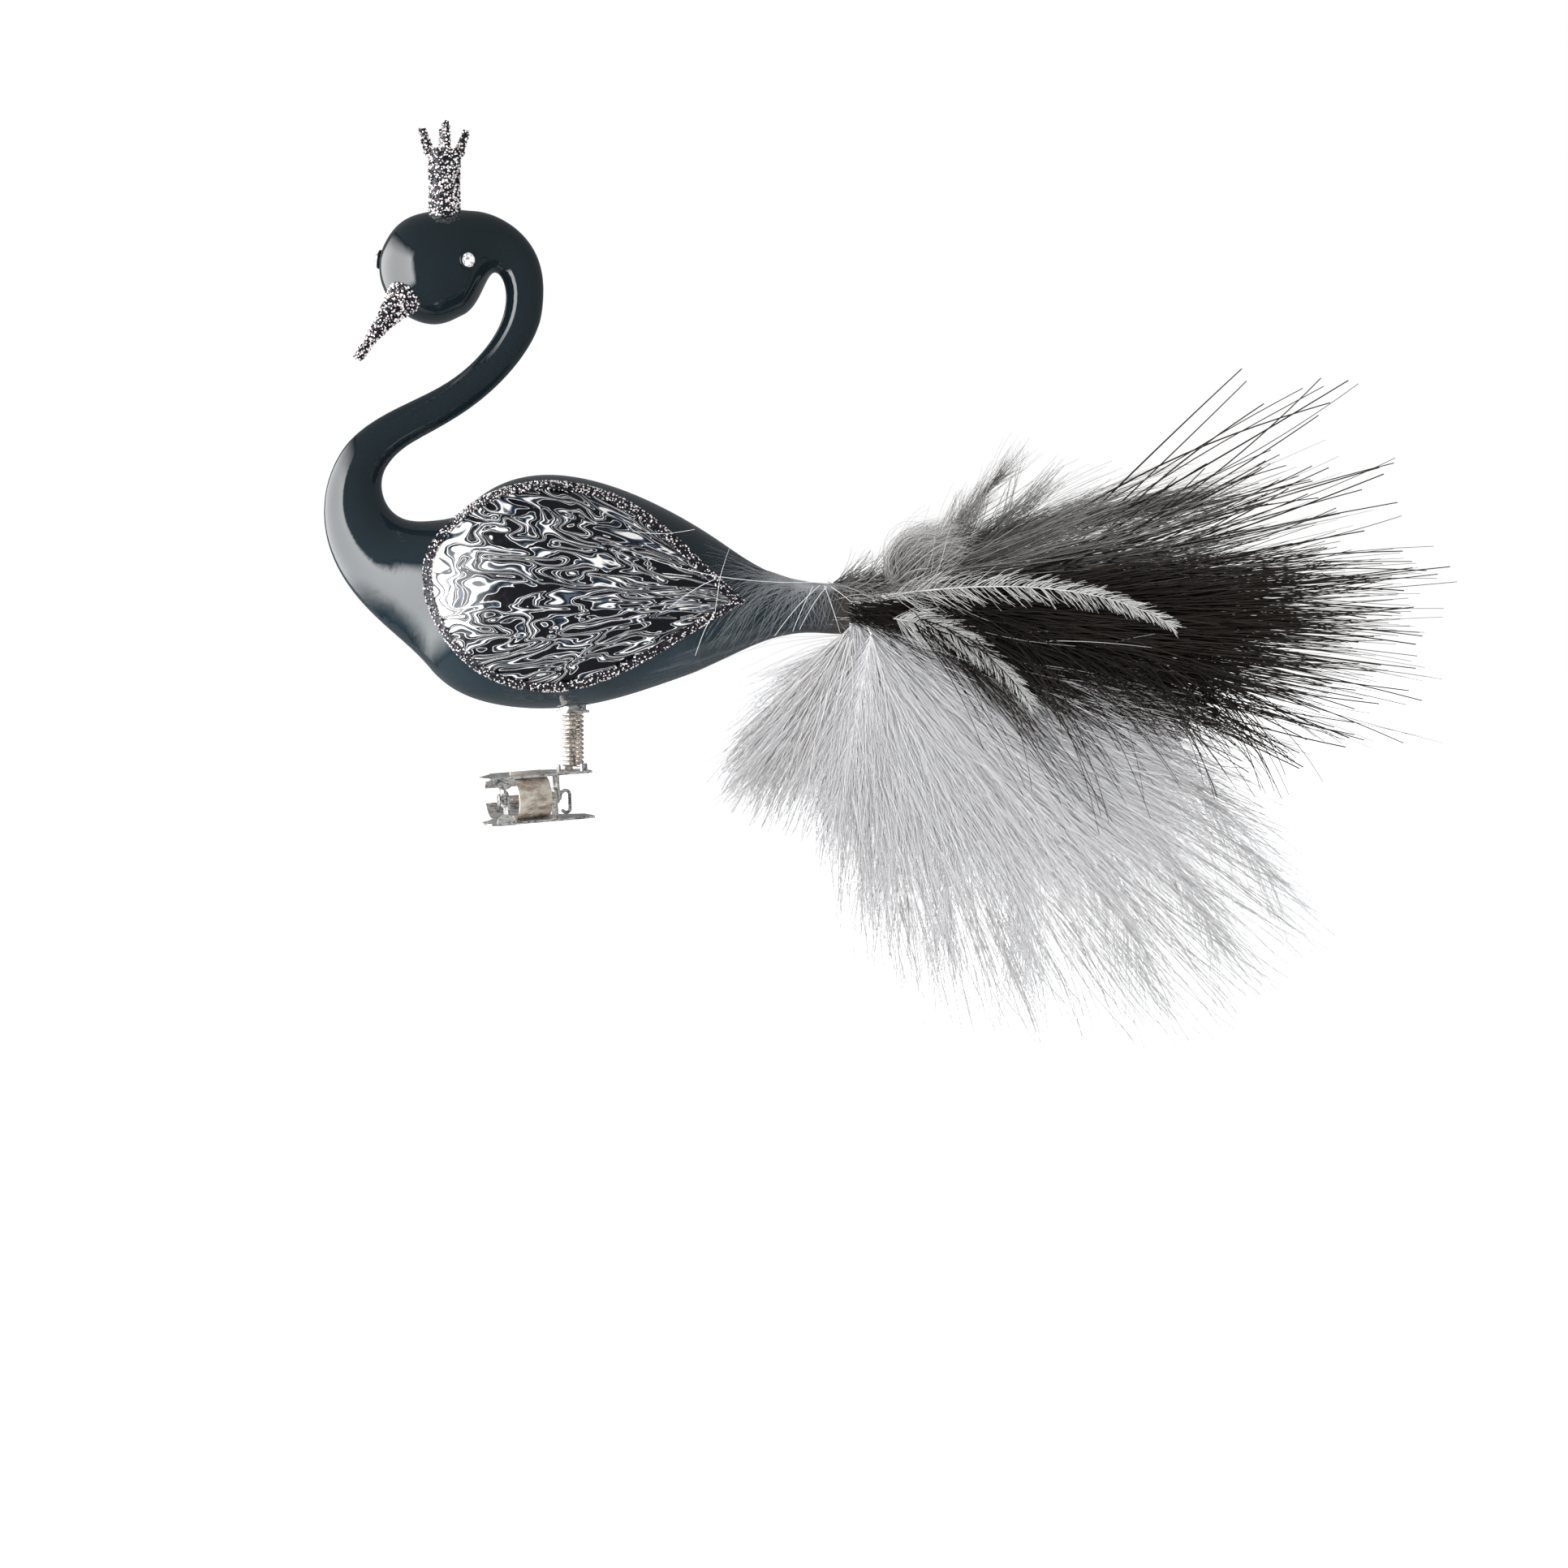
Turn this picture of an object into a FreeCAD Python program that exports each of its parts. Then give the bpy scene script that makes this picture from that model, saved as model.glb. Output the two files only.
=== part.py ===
"""Clip-on blown-glass bird with a feather tail, on a coil spring and a tin clip.

Row frame, millimetres: the origin is the centre of the twig that the clip's jaws hold,
+Z is up, the bird looks towards -X and its tail points towards +X. Its left side is -Y.
"""
import FreeCAD, Part
import math
import os
from FreeCAD import Placement, Rotation, Vector

# ---- driving dimensions: clip ----
TWIG_R = 4.75            # radius of the twig that the closed jaws fit
CLIP_YAW = 20.0          # how far the clip is turned on the twig, about Z
CLIP_ROLL = -3.4         # how far its right end is raised, about the clip's jaw direction
TIN = 0.5                # sheet thickness of the leaves
PIN_V = -10.5            # the hinge pin's place behind the twig, clip coordinates
PIN_R = 0.8
PIN_CLEARANCE = 0.06
GRIP_V = -16.5           # free end of the finger grips
GRIP_EDGE = 4.0          # corners further from the twig than this are rounded
LEAF_LEFT = -11.2
LEAF_RIGHT = 13.2
JAW_HALF = 6.0           # half the jaws' width
JAW_END_ANGLE = 20.0     # where the curled jaw ends, seen from the twig's centre
EAR_U = 6.4              # outer face of the upper leaf's ears
EAR_HALF = 1.8
LOBE_U = -7.4            # middle of the scalloped lobe on each grip
LOBE_R = 2.1
BAND_R = 4.6             # outer radius of the band spring
BAND_T = 0.35
BAND_HALF = 3.75
SLOT_ANGLE = 62.0        # where the band's ends pass through the leaves

# ---- driving dimensions: coil spring and its seat in the belly ----
COIL_U = 10.7            # the coil's foot on the upper leaf, clip coordinates
COIL_V = -9.0
COIL_R = 2.08            # mean radius
WIRE_R = 0.37
COIL_PITCH = 1.0
COIL_TOP = 22.0
HOLE_R = 3.05            # hole in the glass belly
CAP_R = 2.95
CAP_BOTTOM = 18.6
CAP_TOP = 23.2

# ---- driving dimensions: glass ----
GLASS_T = 0.9
HEAD_X = -17.1
HEAD_Z = 116.6
HEAD_R = 12.4
TAIL_X = 74.0            # mouth of the glass tail tube
TAIL_Z = 41.5
TAIL_R = 5.5

# Rings of the glass from the tail mouth to the back of the head: centre x, centre z,
# radius, and the heading of the centre line (180 is towards -X, 90 is up).
BODY_RINGS = [
    (TAIL_X, TAIL_Z, TAIL_R, 180), (67.0, 41.6, 5.4, 180), (61.0, 42.0, 6.1, 180),
    (54.0, 42.4, 8.5, 180), (47.5, 43.0, 12.0, 180), (41.5, 43.6, 15.4, 180),
    (33.0, 44.4, 19.4, 180), (22.5, 45.0, 23.3, 180), (8.6, 45.3, 25.8, 180),
    (-4.0, 44.7, 24.2, 178), (-12.8, 44.4, 19.6, 173), (-21.0, 48.0, 13.8, 162),
    (-29.1, 52.8, 10.2, 144), (-34.0, 59.0, 8.0, 123), (-35.6, 65.8, 6.6, 104),
    (-34.4, 72.2, 5.6, 84), (-30.6, 77.6, 4.8, 58), (-23.6, 82.3, 4.1, 30),
    (-14.4, 87.2, 3.8, 28), (-6.6, 93.1, 3.7, 45), (-0.7, 100.2, 3.9, 65),
    (2.2, 107.6, 4.1, 84), (2.2, 113.6, 4.3, 98), (0.0, 118.6, 4.9, 130),
    (-4.4, 120.7, 6.9, 168), (-8.4, 119.0, 10.0, 180), (-12.0, 117.6, 11.7, 180),
]
HEAD_RING_ANGLES = [0.0, 27.0, 50.0, 68.0, 83.0]

# ---- driving dimensions: trims on the glass ----
WING_LIFT = 0.5
TRIM_LIFT = 0.9
TRIM_WIDTH = 1.7
WING_START = 3.0         # the wings are cut between these distances from the middle plane
WING_BLOCK = 40.0
# Teardrop of the wing, side view (x, z), from the tip over the top and back.
WING_TIP = (51.0, 43.2)
WING_EDGE = [
    (39.5, 54.0), (25.0, 65.3), (8.0, 69.4), (-9.0, 64.4), (-18.6, 52.0),
    (-16.0, 38.5), (-5.0, 27.0), (10.0, 23.8), (29.0, 30.3),
]
CROWN_X = -14.9
CROWN_FORWARD = 3.0      # the crown stands this far in front of the bird's middle plane
CROWN_R = 3.6
CROWN_WAIST_R = 3.2
CROWN_RIM_Z = 142.0
CROWN_WALL = 0.9
CROWN_LEAN = 1.7
# Each prong: its azimuth and the height of its tip.
CROWN_PRONGS = [(-80.0, 147.7), (10.0, 146.2), (100.0, 147.0), (190.0, 146.6)]
BEAK_HEADING = -131.5    # azimuth that the beak points to
BEAK_SEAT_DROP = 36.0    # where it leaves the head, below the level of the head's centre
BEAK_DROP = 41.0
BEAK_TIP_DROP = 50.0
BEAK_LENGTH = 19.0
BEAK_BASE_R = 4.2
BEAK_TIP_R = 0.9
# Each eye's azimuth and its angle above the level of the head's centre.
EYES = {"eye_left": (-53.0, 4.0), "eye_right": (-187.0, 9.0)}
EYE_R = 1.6
EYE_HEIGHT = 1.2

# ---- driving dimensions: feathers ----
FAN_X = -16.0            # the feathers' planes all meet on this upright line
VANE_T = 0.5
QUILL_R = 0.32
VANE_START_X = 84.0
LAYER = 1.0              # layer pitch at VANE_START_X

# name: (layer, root z, middle x, middle z, tip x, tip z, vane width)
PLUMES = {
    "grey_plume_1": (-10, 43.0, 126.0, 50.5, 145.8, 37.4, 7.0),
    "grey_plume_2": (-9, 40.6, 104.0, 37.0, 114.5, 20.5, 6.0),
    "black_plume_8": (-8, 41.3, 116.0, 24.0, 132.0, -5.0, 12.5),
    "white_plume_2": (-7, 40.3, 76.0, 18.0, 69.0, -11.5, 14.3),
    "black_plume_1": (-6, 44.6, 138.0, 56.0, 185.0, 90.6, 15.0),
    "white_plume_3": (-5, 39.2, 93.0, 8.0, 77.5, -33.0, 16.9),
    "black_plume_2": (-4, 44.9, 146.0, 51.0, 193.5, 74.6, 17.5),
    "white_plume_4": (-3, 39.5, 103.0, 4.0, 92.0, -46.0, 19.5),
    "black_plume_3": (-2, 44.2, 150.0, 47.0, 195.5, 62.0, 18.8),
    "white_plume_5": (-1, 39.4, 118.0, -2.0, 113.0, -55.5, 20.8),
    "black_plume_4": (0, 43.4, 152.0, 42.0, 208.5, 47.5, 20.0),
    "white_plume_6": (1, 39.3, 134.0, 2.0, 144.2, -60.5, 22.1),
    "black_plume_5": (2, 42.4, 150.0, 37.0, 200.5, 31.0, 18.8),
    "white_plume_7": (3, 39.7, 141.0, 12.0, 164.5, -51.5, 20.8),
    "black_plume_6": (4, 41.6, 148.0, 32.0, 199.0, 20.0, 17.5),
    "white_plume_8": (5, 40.0, 148.0, 22.0, 181.0, -38.5, 18.2),
    "black_plume_7": (6, 40.9, 142.0, 27.0, 186.0, 12.0, 15.0),
    "grey_plume_3": (7, 44.5, 122.0, 64.0, 159.7, 66.6, 9.0),
    "white_plume_1": (8, 38.8, 62.5, 27.0, 49.0, -3.1, 13.0),
    "grey_plume_4": (9, 43.6, 98.0, 58.0, 114.0, 78.0, 8.0),
}


def save(shape, node):
    """Write one node's STEP file."""
    shape.exportStep("parts/" + node + ".step")


# ---- clip coordinates: u along the twig, v towards the jaws, w up ----
CLIP_PLACE = Placement(Vector(0, 0, 0), Rotation(Vector(0, 0, 1), CLIP_YAW)).multiply(
    Placement(Vector(0, 0, 0), Rotation(Vector(0, 1, 0), CLIP_ROLL)))


def in_row(shape):
    """Move a shape from clip coordinates to the row frame."""
    placed = shape.copy()
    placed.transformShape(CLIP_PLACE.toMatrix())
    return placed


def cylinder_u(radius, low_u, high_u, v):
    """A round bar along u."""
    return Part.makeCylinder(radius, high_u - low_u, Vector(low_u, v, 0), Vector(1, 0, 0))


def leaf():
    """One leaf: grip and flat sheet, then a jaw that curls down round the twig's far side."""
    plan = Part.makePolygon([
        Vector(LEAF_LEFT, GRIP_V, TWIG_R), Vector(LEAF_RIGHT, GRIP_V, TWIG_R),
        Vector(LEAF_RIGHT, GRIP_V + 9.0, TWIG_R), Vector(JAW_HALF, -1.0, TWIG_R),
        Vector(JAW_HALF, 0, TWIG_R), Vector(-JAW_HALF, 0, TWIG_R),
        Vector(-JAW_HALF, -1.0, TWIG_R), Vector(LEAF_LEFT, GRIP_V + 7.0, TWIG_R),
        Vector(LEAF_LEFT, GRIP_V, TWIG_R)])
    flat = Part.Face(plan).extrude(Vector(0, 0, TIN))
    corners = [edge for edge in flat.Edges if is_grip_corner(edge)]
    flat = flat.makeFillet(1.5, corners)
    tube = cylinder_u(TWIG_R + TIN, -JAW_HALF, JAW_HALF, 0)
    tube = tube.cut(cylinder_u(TWIG_R, -JAW_HALF, JAW_HALF, 0))
    end = math.radians(JAW_END_ANGLE)
    reach = 3 * TWIG_R
    sector = Part.Face(Part.makePolygon([
        Vector(-JAW_HALF, 0, 0),
        Vector(-JAW_HALF, reach * math.cos(end), reach * math.sin(end)),
        Vector(-JAW_HALF, reach, reach), Vector(-JAW_HALF, 0, reach),
        Vector(-JAW_HALF, 0, 0)])).extrude(Vector(2 * JAW_HALF, 0, 0))
    return flat.fuse(tube.common(sector))


def is_grip_corner(edge):
    """True for an upright edge at one of the grip's outer corners."""
    low, high = edge.Vertexes[0].Point, edge.Vertexes[-1].Point
    upright = abs(low.x - high.x) < 1e-6 and abs(low.y - high.y) < 1e-6
    return upright and low.y < -GRIP_EDGE


def ear(outer_u, drop):
    """A sheet ear bent down from the leaf, rounded about the pin; drop is its reach."""
    side = 1 if outer_u > 0 else -1
    low_u = min(outer_u, outer_u - side * TIN)
    upright = Part.makeBox(TIN, 2 * EAR_HALF, TWIG_R + 0.1, Vector(low_u, PIN_V - EAR_HALF, 0))
    return upright.fuse(cylinder_u(drop, low_u, low_u + TIN, PIN_V))


def lobe(radius):
    """A scalloped lobe bent down from the grip's edge."""
    disc = Part.makeCylinder(radius, TIN, Vector(LOBE_U, GRIP_V, TWIG_R + 0.2), Vector(0, 1, 0))
    below = Part.makeBox(2 * radius, TIN, radius + 0.4,
                         Vector(LOBE_U - radius, GRIP_V, TWIG_R + 0.2 - radius))
    return disc.common(below)


def band_slot():
    """The slot in a leaf that one end of the band spring hooks through."""
    angle = math.radians(SLOT_ANGLE)
    v = PIN_V + (BAND_R - BAND_T / 2) * math.cos(angle)
    return Part.makeBox(2 * BAND_HALF + 0.4, BAND_T + 0.3, 3.0,
                        Vector(-BAND_HALF - 0.2, v - BAND_T / 2 - 0.15, TWIG_R - 1.0))


def lanced_tab(angle, height):
    """A small tab cut from the leaf and raised beside the coil's foot."""
    tab = Part.makeBox(0.45, 1.8, height + 0.2, Vector(COIL_R + 1.0, -0.9, -0.1))
    tab.rotate(Vector(0, 0, 0), Vector(0, 0, 1), angle)
    tab.translate(Vector(COIL_U, COIL_V, TWIG_R + TIN))
    return tab


def mirrored(shape):
    """A leaf's shape turned over to the other side of the twig."""
    return shape.mirror(Vector(0, 0, 0), Vector(0, 0, 1))


def clip_upper_leaf():
    """The leaf that carries the coil: ears, lobe, band slot and lanced tabs."""
    shape = leaf()
    for side in (-1, 1):
        shape = shape.fuse(ear(side * EAR_U, EAR_HALF))
    for angle in (90, 180, 300):
        shape = shape.fuse(lanced_tab(angle, 1.3))
    shape = shape.fuse(lobe(LOBE_R + 0.3))
    hole = cylinder_u(PIN_R + 0.01, -EAR_U - 1, EAR_U + 1, PIN_V)
    return shape.cut(band_slot()).cut(hole).removeSplitter()


def clip_lower_leaf():
    """The leaf that swings on the pin, with its ears inside the upper leaf's."""
    inner_u = EAR_U - TIN - 0.15
    shape = leaf()
    for side in (-1, 1):
        shape = shape.fuse(ear(side * inner_u, EAR_HALF))
    shape = shape.fuse(lobe(LOBE_R)).cut(band_slot())
    hole = cylinder_u(PIN_R + PIN_CLEARANCE, -EAR_U, EAR_U, PIN_V)
    return mirrored(shape.cut(hole).removeSplitter())


def wire_bar(points, radius):
    """A wire of straight runs joined by balls, from a list of corners."""
    bar = None
    for low, high in zip(points, points[1:]):
        run = Part.makeCylinder(radius, (high - low).Length, low, high - low)
        bar = run if bar is None else bar.fuse(run)
        bar = bar.fuse(Part.makeSphere(radius, high))
    return bar


def hinge_pin():
    """The pin with a round head at its left end and a bent wire loop at its right end."""
    low_u, high_u = -EAR_U - 0.5, EAR_U + 0.6
    pin = cylinder_u(PIN_R, low_u, high_u, PIN_V)
    head = cylinder_u(PIN_R + 0.5, low_u - 0.4, low_u, PIN_V)
    stop = cylinder_u(PIN_R + 0.3, EAR_U + 0.1, high_u, PIN_V)
    loop_r, loop_long, wire = 0.95, 3.0, 0.38
    centre_u = high_u + loop_r + 0.2
    corners = [Vector(high_u - 0.3, PIN_V, 0)]
    for step in range(13):
        angle = math.radians(150 - 25 * step)
        low = -loop_long if math.sin(angle) < 0 else 0.0
        corners.append(Vector(centre_u + loop_r * math.cos(angle), PIN_V,
                              loop_r * math.sin(angle) + low))
    return pin.fuse(head).fuse(stop).fuse(wire_bar(corners, wire)).removeSplitter()


def band_spring():
    """A wide strip curved round the pin; its ends hook out through both leaves."""
    ring = cylinder_u(BAND_R, -BAND_HALF, BAND_HALF, PIN_V)
    ring = ring.cut(cylinder_u(BAND_R - BAND_T, -BAND_HALF, BAND_HALF, PIN_V))
    angle = math.radians(SLOT_ANGLE)
    middle = BAND_R - BAND_T / 2
    end_v = PIN_V + middle * math.cos(angle)
    end_w = middle * math.sin(angle)
    gap = Part.makeBox(2 * BAND_HALF, BAND_R, 2 * end_w,
                       Vector(-BAND_HALF, end_v, -end_w))
    corner = Part.makeBox(2 * BAND_HALF, BAND_R, 2 * BAND_R,
                          Vector(-BAND_HALF, end_v + BAND_T / 2, -BAND_R))
    band = ring.cut(gap).cut(corner)
    for side in (-1, 1):
        low_w = min(side * (end_w - 0.1), side * (TWIG_R + TIN + 0.45))
        upright = Part.makeBox(2 * BAND_HALF, BAND_T, TWIG_R + TIN + 0.55 - end_w,
                               Vector(-BAND_HALF, end_v - BAND_T / 2, low_w))
        band = band.fuse(upright)
    return band.removeSplitter()


# ---- coil spring and seat ----
COIL_FOOT = CLIP_PLACE.multVec(Vector(COIL_U, COIL_V, TWIG_R + TIN))
BIRD_Y = COIL_FOOT.y


def coil_spring():
    """A wire helix from the upper leaf to the seat in the belly."""
    bottom = COIL_FOOT.z + 0.35 + WIRE_R
    helix = Part.makeHelix(COIL_PITCH, COIL_TOP - bottom, COIL_R)
    start = Vector(COIL_R, 0, 0)
    profile = Part.Wire([Part.makeCircle(WIRE_R, start, Vector(0, 1, 0))])
    coil = Part.Wire(helix).makePipeShell([profile], True, True)
    coil.translate(Vector(COIL_FOOT.x, COIL_FOOT.y, bottom))
    return coil


def belly_cap():
    """The metal seat in the belly hole: flange, sleeve, top and two splayed prongs."""
    at = Vector(COIL_FOOT.x, COIL_FOOT.y, CAP_BOTTOM)
    height = CAP_TOP - CAP_BOTTOM
    up = Vector(0, 0, 1)
    flange = Part.makeCylinder(CAP_R + 0.7, 0.5, at, up)
    sleeve = Part.makeCylinder(CAP_R, height, at, up)
    inside = Part.makeCylinder(CAP_R - 0.3, height - 0.4, at - up * 0.1, up)
    cap = flange.fuse(sleeve).cut(inside)
    for side in (-1, 1):
        foot = Vector(COIL_FOOT.x + side * 1.2, COIL_FOOT.y, CAP_TOP - 0.2)
        elbow = foot + Vector(side * 0.6, 0, 3.0)
        tip = elbow + Vector(side * 3.6, 0, -1.4)
        cap = cap.fuse(wire_bar([foot, elbow, tip], 0.4))
    return cap.removeSplitter()


# ---- glass ----
def ring_curve(x, z, radius, heading):
    """A circle of the glass, square to its centre line, as a spline."""
    edge = Part.Circle(Vector(0, 0, 0), Vector(1, 0, 0), radius).toShape()
    edge.rotate(Vector(0, 0, 0), Vector(0, 1, 0), -heading)
    edge.translate(Vector(x, BIRD_Y, z))
    return edge.Curve.toBSpline(*edge.ParameterRange)


def glass_form(offset, mouth=0.0):
    """The bird as one skinned solid, offset from the glass's outside; mouth lengthens the tail."""
    curves = []
    for x, z, radius, heading in BODY_RINGS:
        reach = mouth if x == TAIL_X else 0.0
        curves.append(ring_curve(x + reach, z, radius + offset, heading))
    head_r = HEAD_R + offset
    for angle in HEAD_RING_ANGLES:
        turn = math.radians(angle)
        curves.append(ring_curve(HEAD_X - head_r * math.sin(turn), HEAD_Z,
                                 head_r * math.cos(turn), 180))
    skin = Part.BSplineSurface()
    skin.buildFromNSections(curves)
    caps = [Part.Face(Part.Wire([curve.toShape()])) for curve in (curves[0], curves[-1])]
    shell = Part.makeShell([skin.toShape()] + caps)
    shell.sewShape()
    solid = Part.makeSolid(shell)
    if solid.Volume < 0:
        solid.reverse()
    return solid


def glass_body():
    """The blown shell: open tail tube and a round hole under the belly."""
    shell = glass_form(0).cut(glass_form(-GLASS_T, 2.0))
    hole = Part.makeCylinder(HOLE_R, 12, Vector(COIL_FOOT.x, COIL_FOOT.y, CAP_BOTTOM - 4))
    return shell.cut(hole)


def wing_face(inset):
    """The wing's teardrop as a flat face on the bird's middle plane, inset all round."""
    tip = Vector(WING_TIP[0] - 1.6 * inset, 0, WING_TIP[1])
    points = [Vector(x, 0, z) for x, z in WING_EDGE]
    outline = Part.BSplineCurve()
    outline.interpolate([tip] + points + [tip])
    moved = []
    for point in points:
        along = outline.tangent(outline.parameter(point))[0]
        moved.append(point + Vector(-along.z, 0, along.x) * inset)
    inner = Part.BSplineCurve()
    inner.interpolate([tip] + moved + [tip])
    return Part.Face(Part.Wire([inner.toShape()]))


def on_side(face, side, lift, outside):
    """The part of a side-view face that lies on the glass, as a skin of thickness lift."""
    block = face.extrude(Vector(0, side * WING_BLOCK, 0))
    block.translate(Vector(0, BIRD_Y + side * WING_START, 0))
    return block.cut(outside).common(glass_form(lift))


def crown():
    """A waisted open tube on the head, with flared prongs round its rim."""
    base_z = HEAD_Z + HEAD_R - 3.4
    outline = [Vector(CROWN_R, 0, base_z), Vector(CROWN_WAIST_R, 0, CROWN_RIM_Z - 6.5),
               Vector(CROWN_R, 0, CROWN_RIM_Z)]
    inner = [point - Vector(CROWN_WALL, 0, 0) for point in reversed(outline)]
    side = Part.BSplineCurve()
    side.interpolate(outline)
    bore = Part.BSplineCurve()
    bore.interpolate(inner)
    edges = [side.toShape(), Part.makeLine(outline[-1], inner[0]), bore.toShape(),
             Part.makeLine(inner[-1], outline[0])]
    tube = Part.Face(Part.Wire(edges)).revolve(Vector(0, 0, 0), Vector(0, 0, 1), 360)
    tube = Part.makeSolid(tube) if tube.ShapeType == "Shell" else tube
    for azimuth, tip_z in CROWN_PRONGS:
        out = direction(azimuth, 0)
        foot = out * (CROWN_R - CROWN_WALL / 2) + Vector(0, 0, CROWN_RIM_Z - 1.0)
        axis = out * CROWN_LEAN + Vector(0, 0, tip_z - foot.z)
        tube = tube.fuse(Part.makeCone(1.0, 0.6, axis.Length, foot, axis))
    tube.translate(Vector(CROWN_X, BIRD_Y - CROWN_FORWARD, 0))
    return tube


def direction(heading, drop):
    """A unit vector from an azimuth and an angle below the horizontal."""
    flat = math.cos(math.radians(drop))
    return Vector(flat * math.cos(math.radians(heading)),
                  flat * math.sin(math.radians(heading)), -math.sin(math.radians(drop)))


def beak():
    """A slightly curved cone that leaves the head square to its surface."""
    centre = Vector(HEAD_X, BIRD_Y, HEAD_Z)
    steps = 5
    at = centre + direction(BEAK_HEADING, BEAK_SEAT_DROP) * (HEAD_R - 1.6)
    wires = []
    for step in range(steps + 1):
        share = step / steps
        way = direction(BEAK_HEADING, BEAK_DROP + (BEAK_TIP_DROP - BEAK_DROP) * share)
        radius = BEAK_TIP_R + (BEAK_BASE_R - BEAK_TIP_R) * (1 - share) ** 2.2
        wires.append(Part.Wire([Part.makeCircle(radius, at, way)]))
        at = at + way * ((BEAK_LENGTH + 1.6) / steps)
    return Part.makeLoft(wires, True, False)


def eye(heading, rise, outside):
    """A flat-backed faceted stone set on the head."""
    centre = Vector(HEAD_X, BIRD_Y, HEAD_Z)
    out = direction(heading, -rise)
    surface = Part.makeLine(centre, centre + out * 2 * HEAD_R).common(outside).Length
    foot = centre + out * (surface - 0.4)
    girdle = Part.makeCylinder(EYE_R, 0.8, foot, out)
    table = Part.makeCone(EYE_R, EYE_R * 0.5, EYE_HEIGHT - 0.4, foot + out * 0.8, out)
    return girdle.fuse(table).cut(outside)


# ---- feathers ----
def fan_angle(layer):
    """How far a feather's plane is turned about the fan's upright line, in radians."""
    return math.atan2(layer * LAYER, VANE_START_X - FAN_X)


def fanned(x, z, layer):
    """A point on a feather's plane: the planes open like a fan towards the tail's end."""
    out = x - FAN_X
    angle = fan_angle(layer)
    return Vector(FAN_X + out * math.cos(angle), BIRD_Y + out * math.sin(angle), z)


def rib_point(start, middle, tip, share):
    """A point and its direction on a feather's curved rib (quadratic curve)."""
    a, b, c = (1 - share) ** 2, 2 * share * (1 - share), share ** 2
    x = a * start[0] + b * middle[0] + c * tip[0]
    z = a * start[1] + b * middle[1] + c * tip[1]
    dx = (1 - share) * (middle[0] - start[0]) + share * (tip[0] - middle[0])
    dz = (1 - share) * (middle[1] - start[1]) + share * (tip[1] - middle[1])
    size = math.hypot(dx, dz)
    return x, z, dx / size, dz / size


def vane(start, middle, tip, width):
    """A feather's flat vane, pointed at both ends, in the XZ plane."""
    sides = {1: [], -1: []}
    for share in (0.0, 0.2, 0.45, 0.7, 0.9, 1.0):
        x, z, dx, dz = rib_point(start, middle, tip, share)
        half = width / 2 * math.sin(math.pi * (0.06 + 0.9 * share))
        for side in sides:
            sides[side].append(Vector(x - side * half * dz, 0, z + side * half * dx))
    edges = []
    for points in (sides[1], list(reversed(sides[-1]))):
        curve = Part.BSplineCurve()
        curve.interpolate(points)
        edges.append(curve.toShape())
    edges.insert(1, Part.makeLine(sides[1][-1], sides[-1][-1]))
    edges.append(Part.makeLine(sides[-1][0], sides[1][0]))
    return Part.Face(Part.Wire(edges))


def plume(layer, root_z, middle, tip, width):
    """One feather: a quill from the tail plug and a flat vane along its rib."""
    mouth_x = TAIL_X + 2.0
    start = (VANE_START_X, TAIL_Z + 2.2 * (root_z - TAIL_Z))
    if tip[0] < VANE_START_X:
        start = (mouth_x + 3.0, TAIL_Z - 5.5)
    plate = vane(start, middle, tip, width).extrude(Vector(0, VANE_T, 0))
    plate.translate(Vector(-FAN_X, -VANE_T / 2, 0))
    plate.rotate(Vector(0, 0, 0), Vector(0, 0, 1), math.degrees(fan_angle(layer)))
    plate.translate(Vector(FAN_X, BIRD_Y, 0))
    root = Vector(TAIL_X - 7.0, BIRD_Y + layer * 0.36, root_z)
    mouth = Vector(mouth_x, BIRD_Y + layer * 0.39, root_z)
    x, z, dx, dz = rib_point(start, middle, tip, 0.25)
    quill = wire_bar([root, mouth, fanned(start[0], start[1], layer),
                      fanned(x, z, layer)], QUILL_R)
    return plate.fuse(quill)


def tail_plug(quills):
    """The plug in the tail tube, with a hole for each quill."""
    plug = Part.makeCylinder(TAIL_R - GLASS_T - 0.25, 6.0, Vector(TAIL_X - 6.5, BIRD_Y, TAIL_Z),
                             Vector(1, 0, 0))
    for quill in quills:
        plug = plug.cut(quill)
    return plug


def main():
    os.makedirs("parts", exist_ok=True)
    save(in_row(clip_upper_leaf()), "clip_upper_leaf")
    save(in_row(clip_lower_leaf()), "clip_lower_leaf")
    save(in_row(hinge_pin()), "hinge_pin")
    save(in_row(band_spring()), "band_spring")
    save(coil_spring(), "coil_spring")
    save(belly_cap(), "belly_cap")
    save(glass_body(), "glass_body")
    outside = glass_form(0)
    for name, side in (("left", -1), ("right", 1)):
        save(on_side(wing_face(TRIM_WIDTH), side, WING_LIFT, outside), "wing_" + name)
        rim = wing_face(0).cut(wing_face(TRIM_WIDTH))
        save(on_side(rim, side, TRIM_LIFT, outside), "wing_trim_" + name)
    save(crown().cut(outside), "crown")
    save(beak().cut(outside), "beak")
    for name, (heading, rise) in EYES.items():
        save(eye(heading, rise, outside), name)
    feathers = []
    for name, (layer, root_z, mid_x, mid_z, tip_x, tip_z, width) in PLUMES.items():
        feather = plume(layer, root_z, (mid_x, mid_z), (tip_x, tip_z), width)
        feathers.append(feather)
        save(feather, name)
    save(tail_plug(feathers), "tail_plug")


main()
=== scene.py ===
"""Looks of a clip-on blown-glass bird with a feather tail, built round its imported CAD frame.

Shapes are worked out in millimetres in the row frame and written to Blender in metres.
+Z is up, the bird looks towards -X, its tail points towards +X and its left side is -Y.
"""
import math
import bpy
import numpy as np
from mathutils import Matrix, Vector


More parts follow.
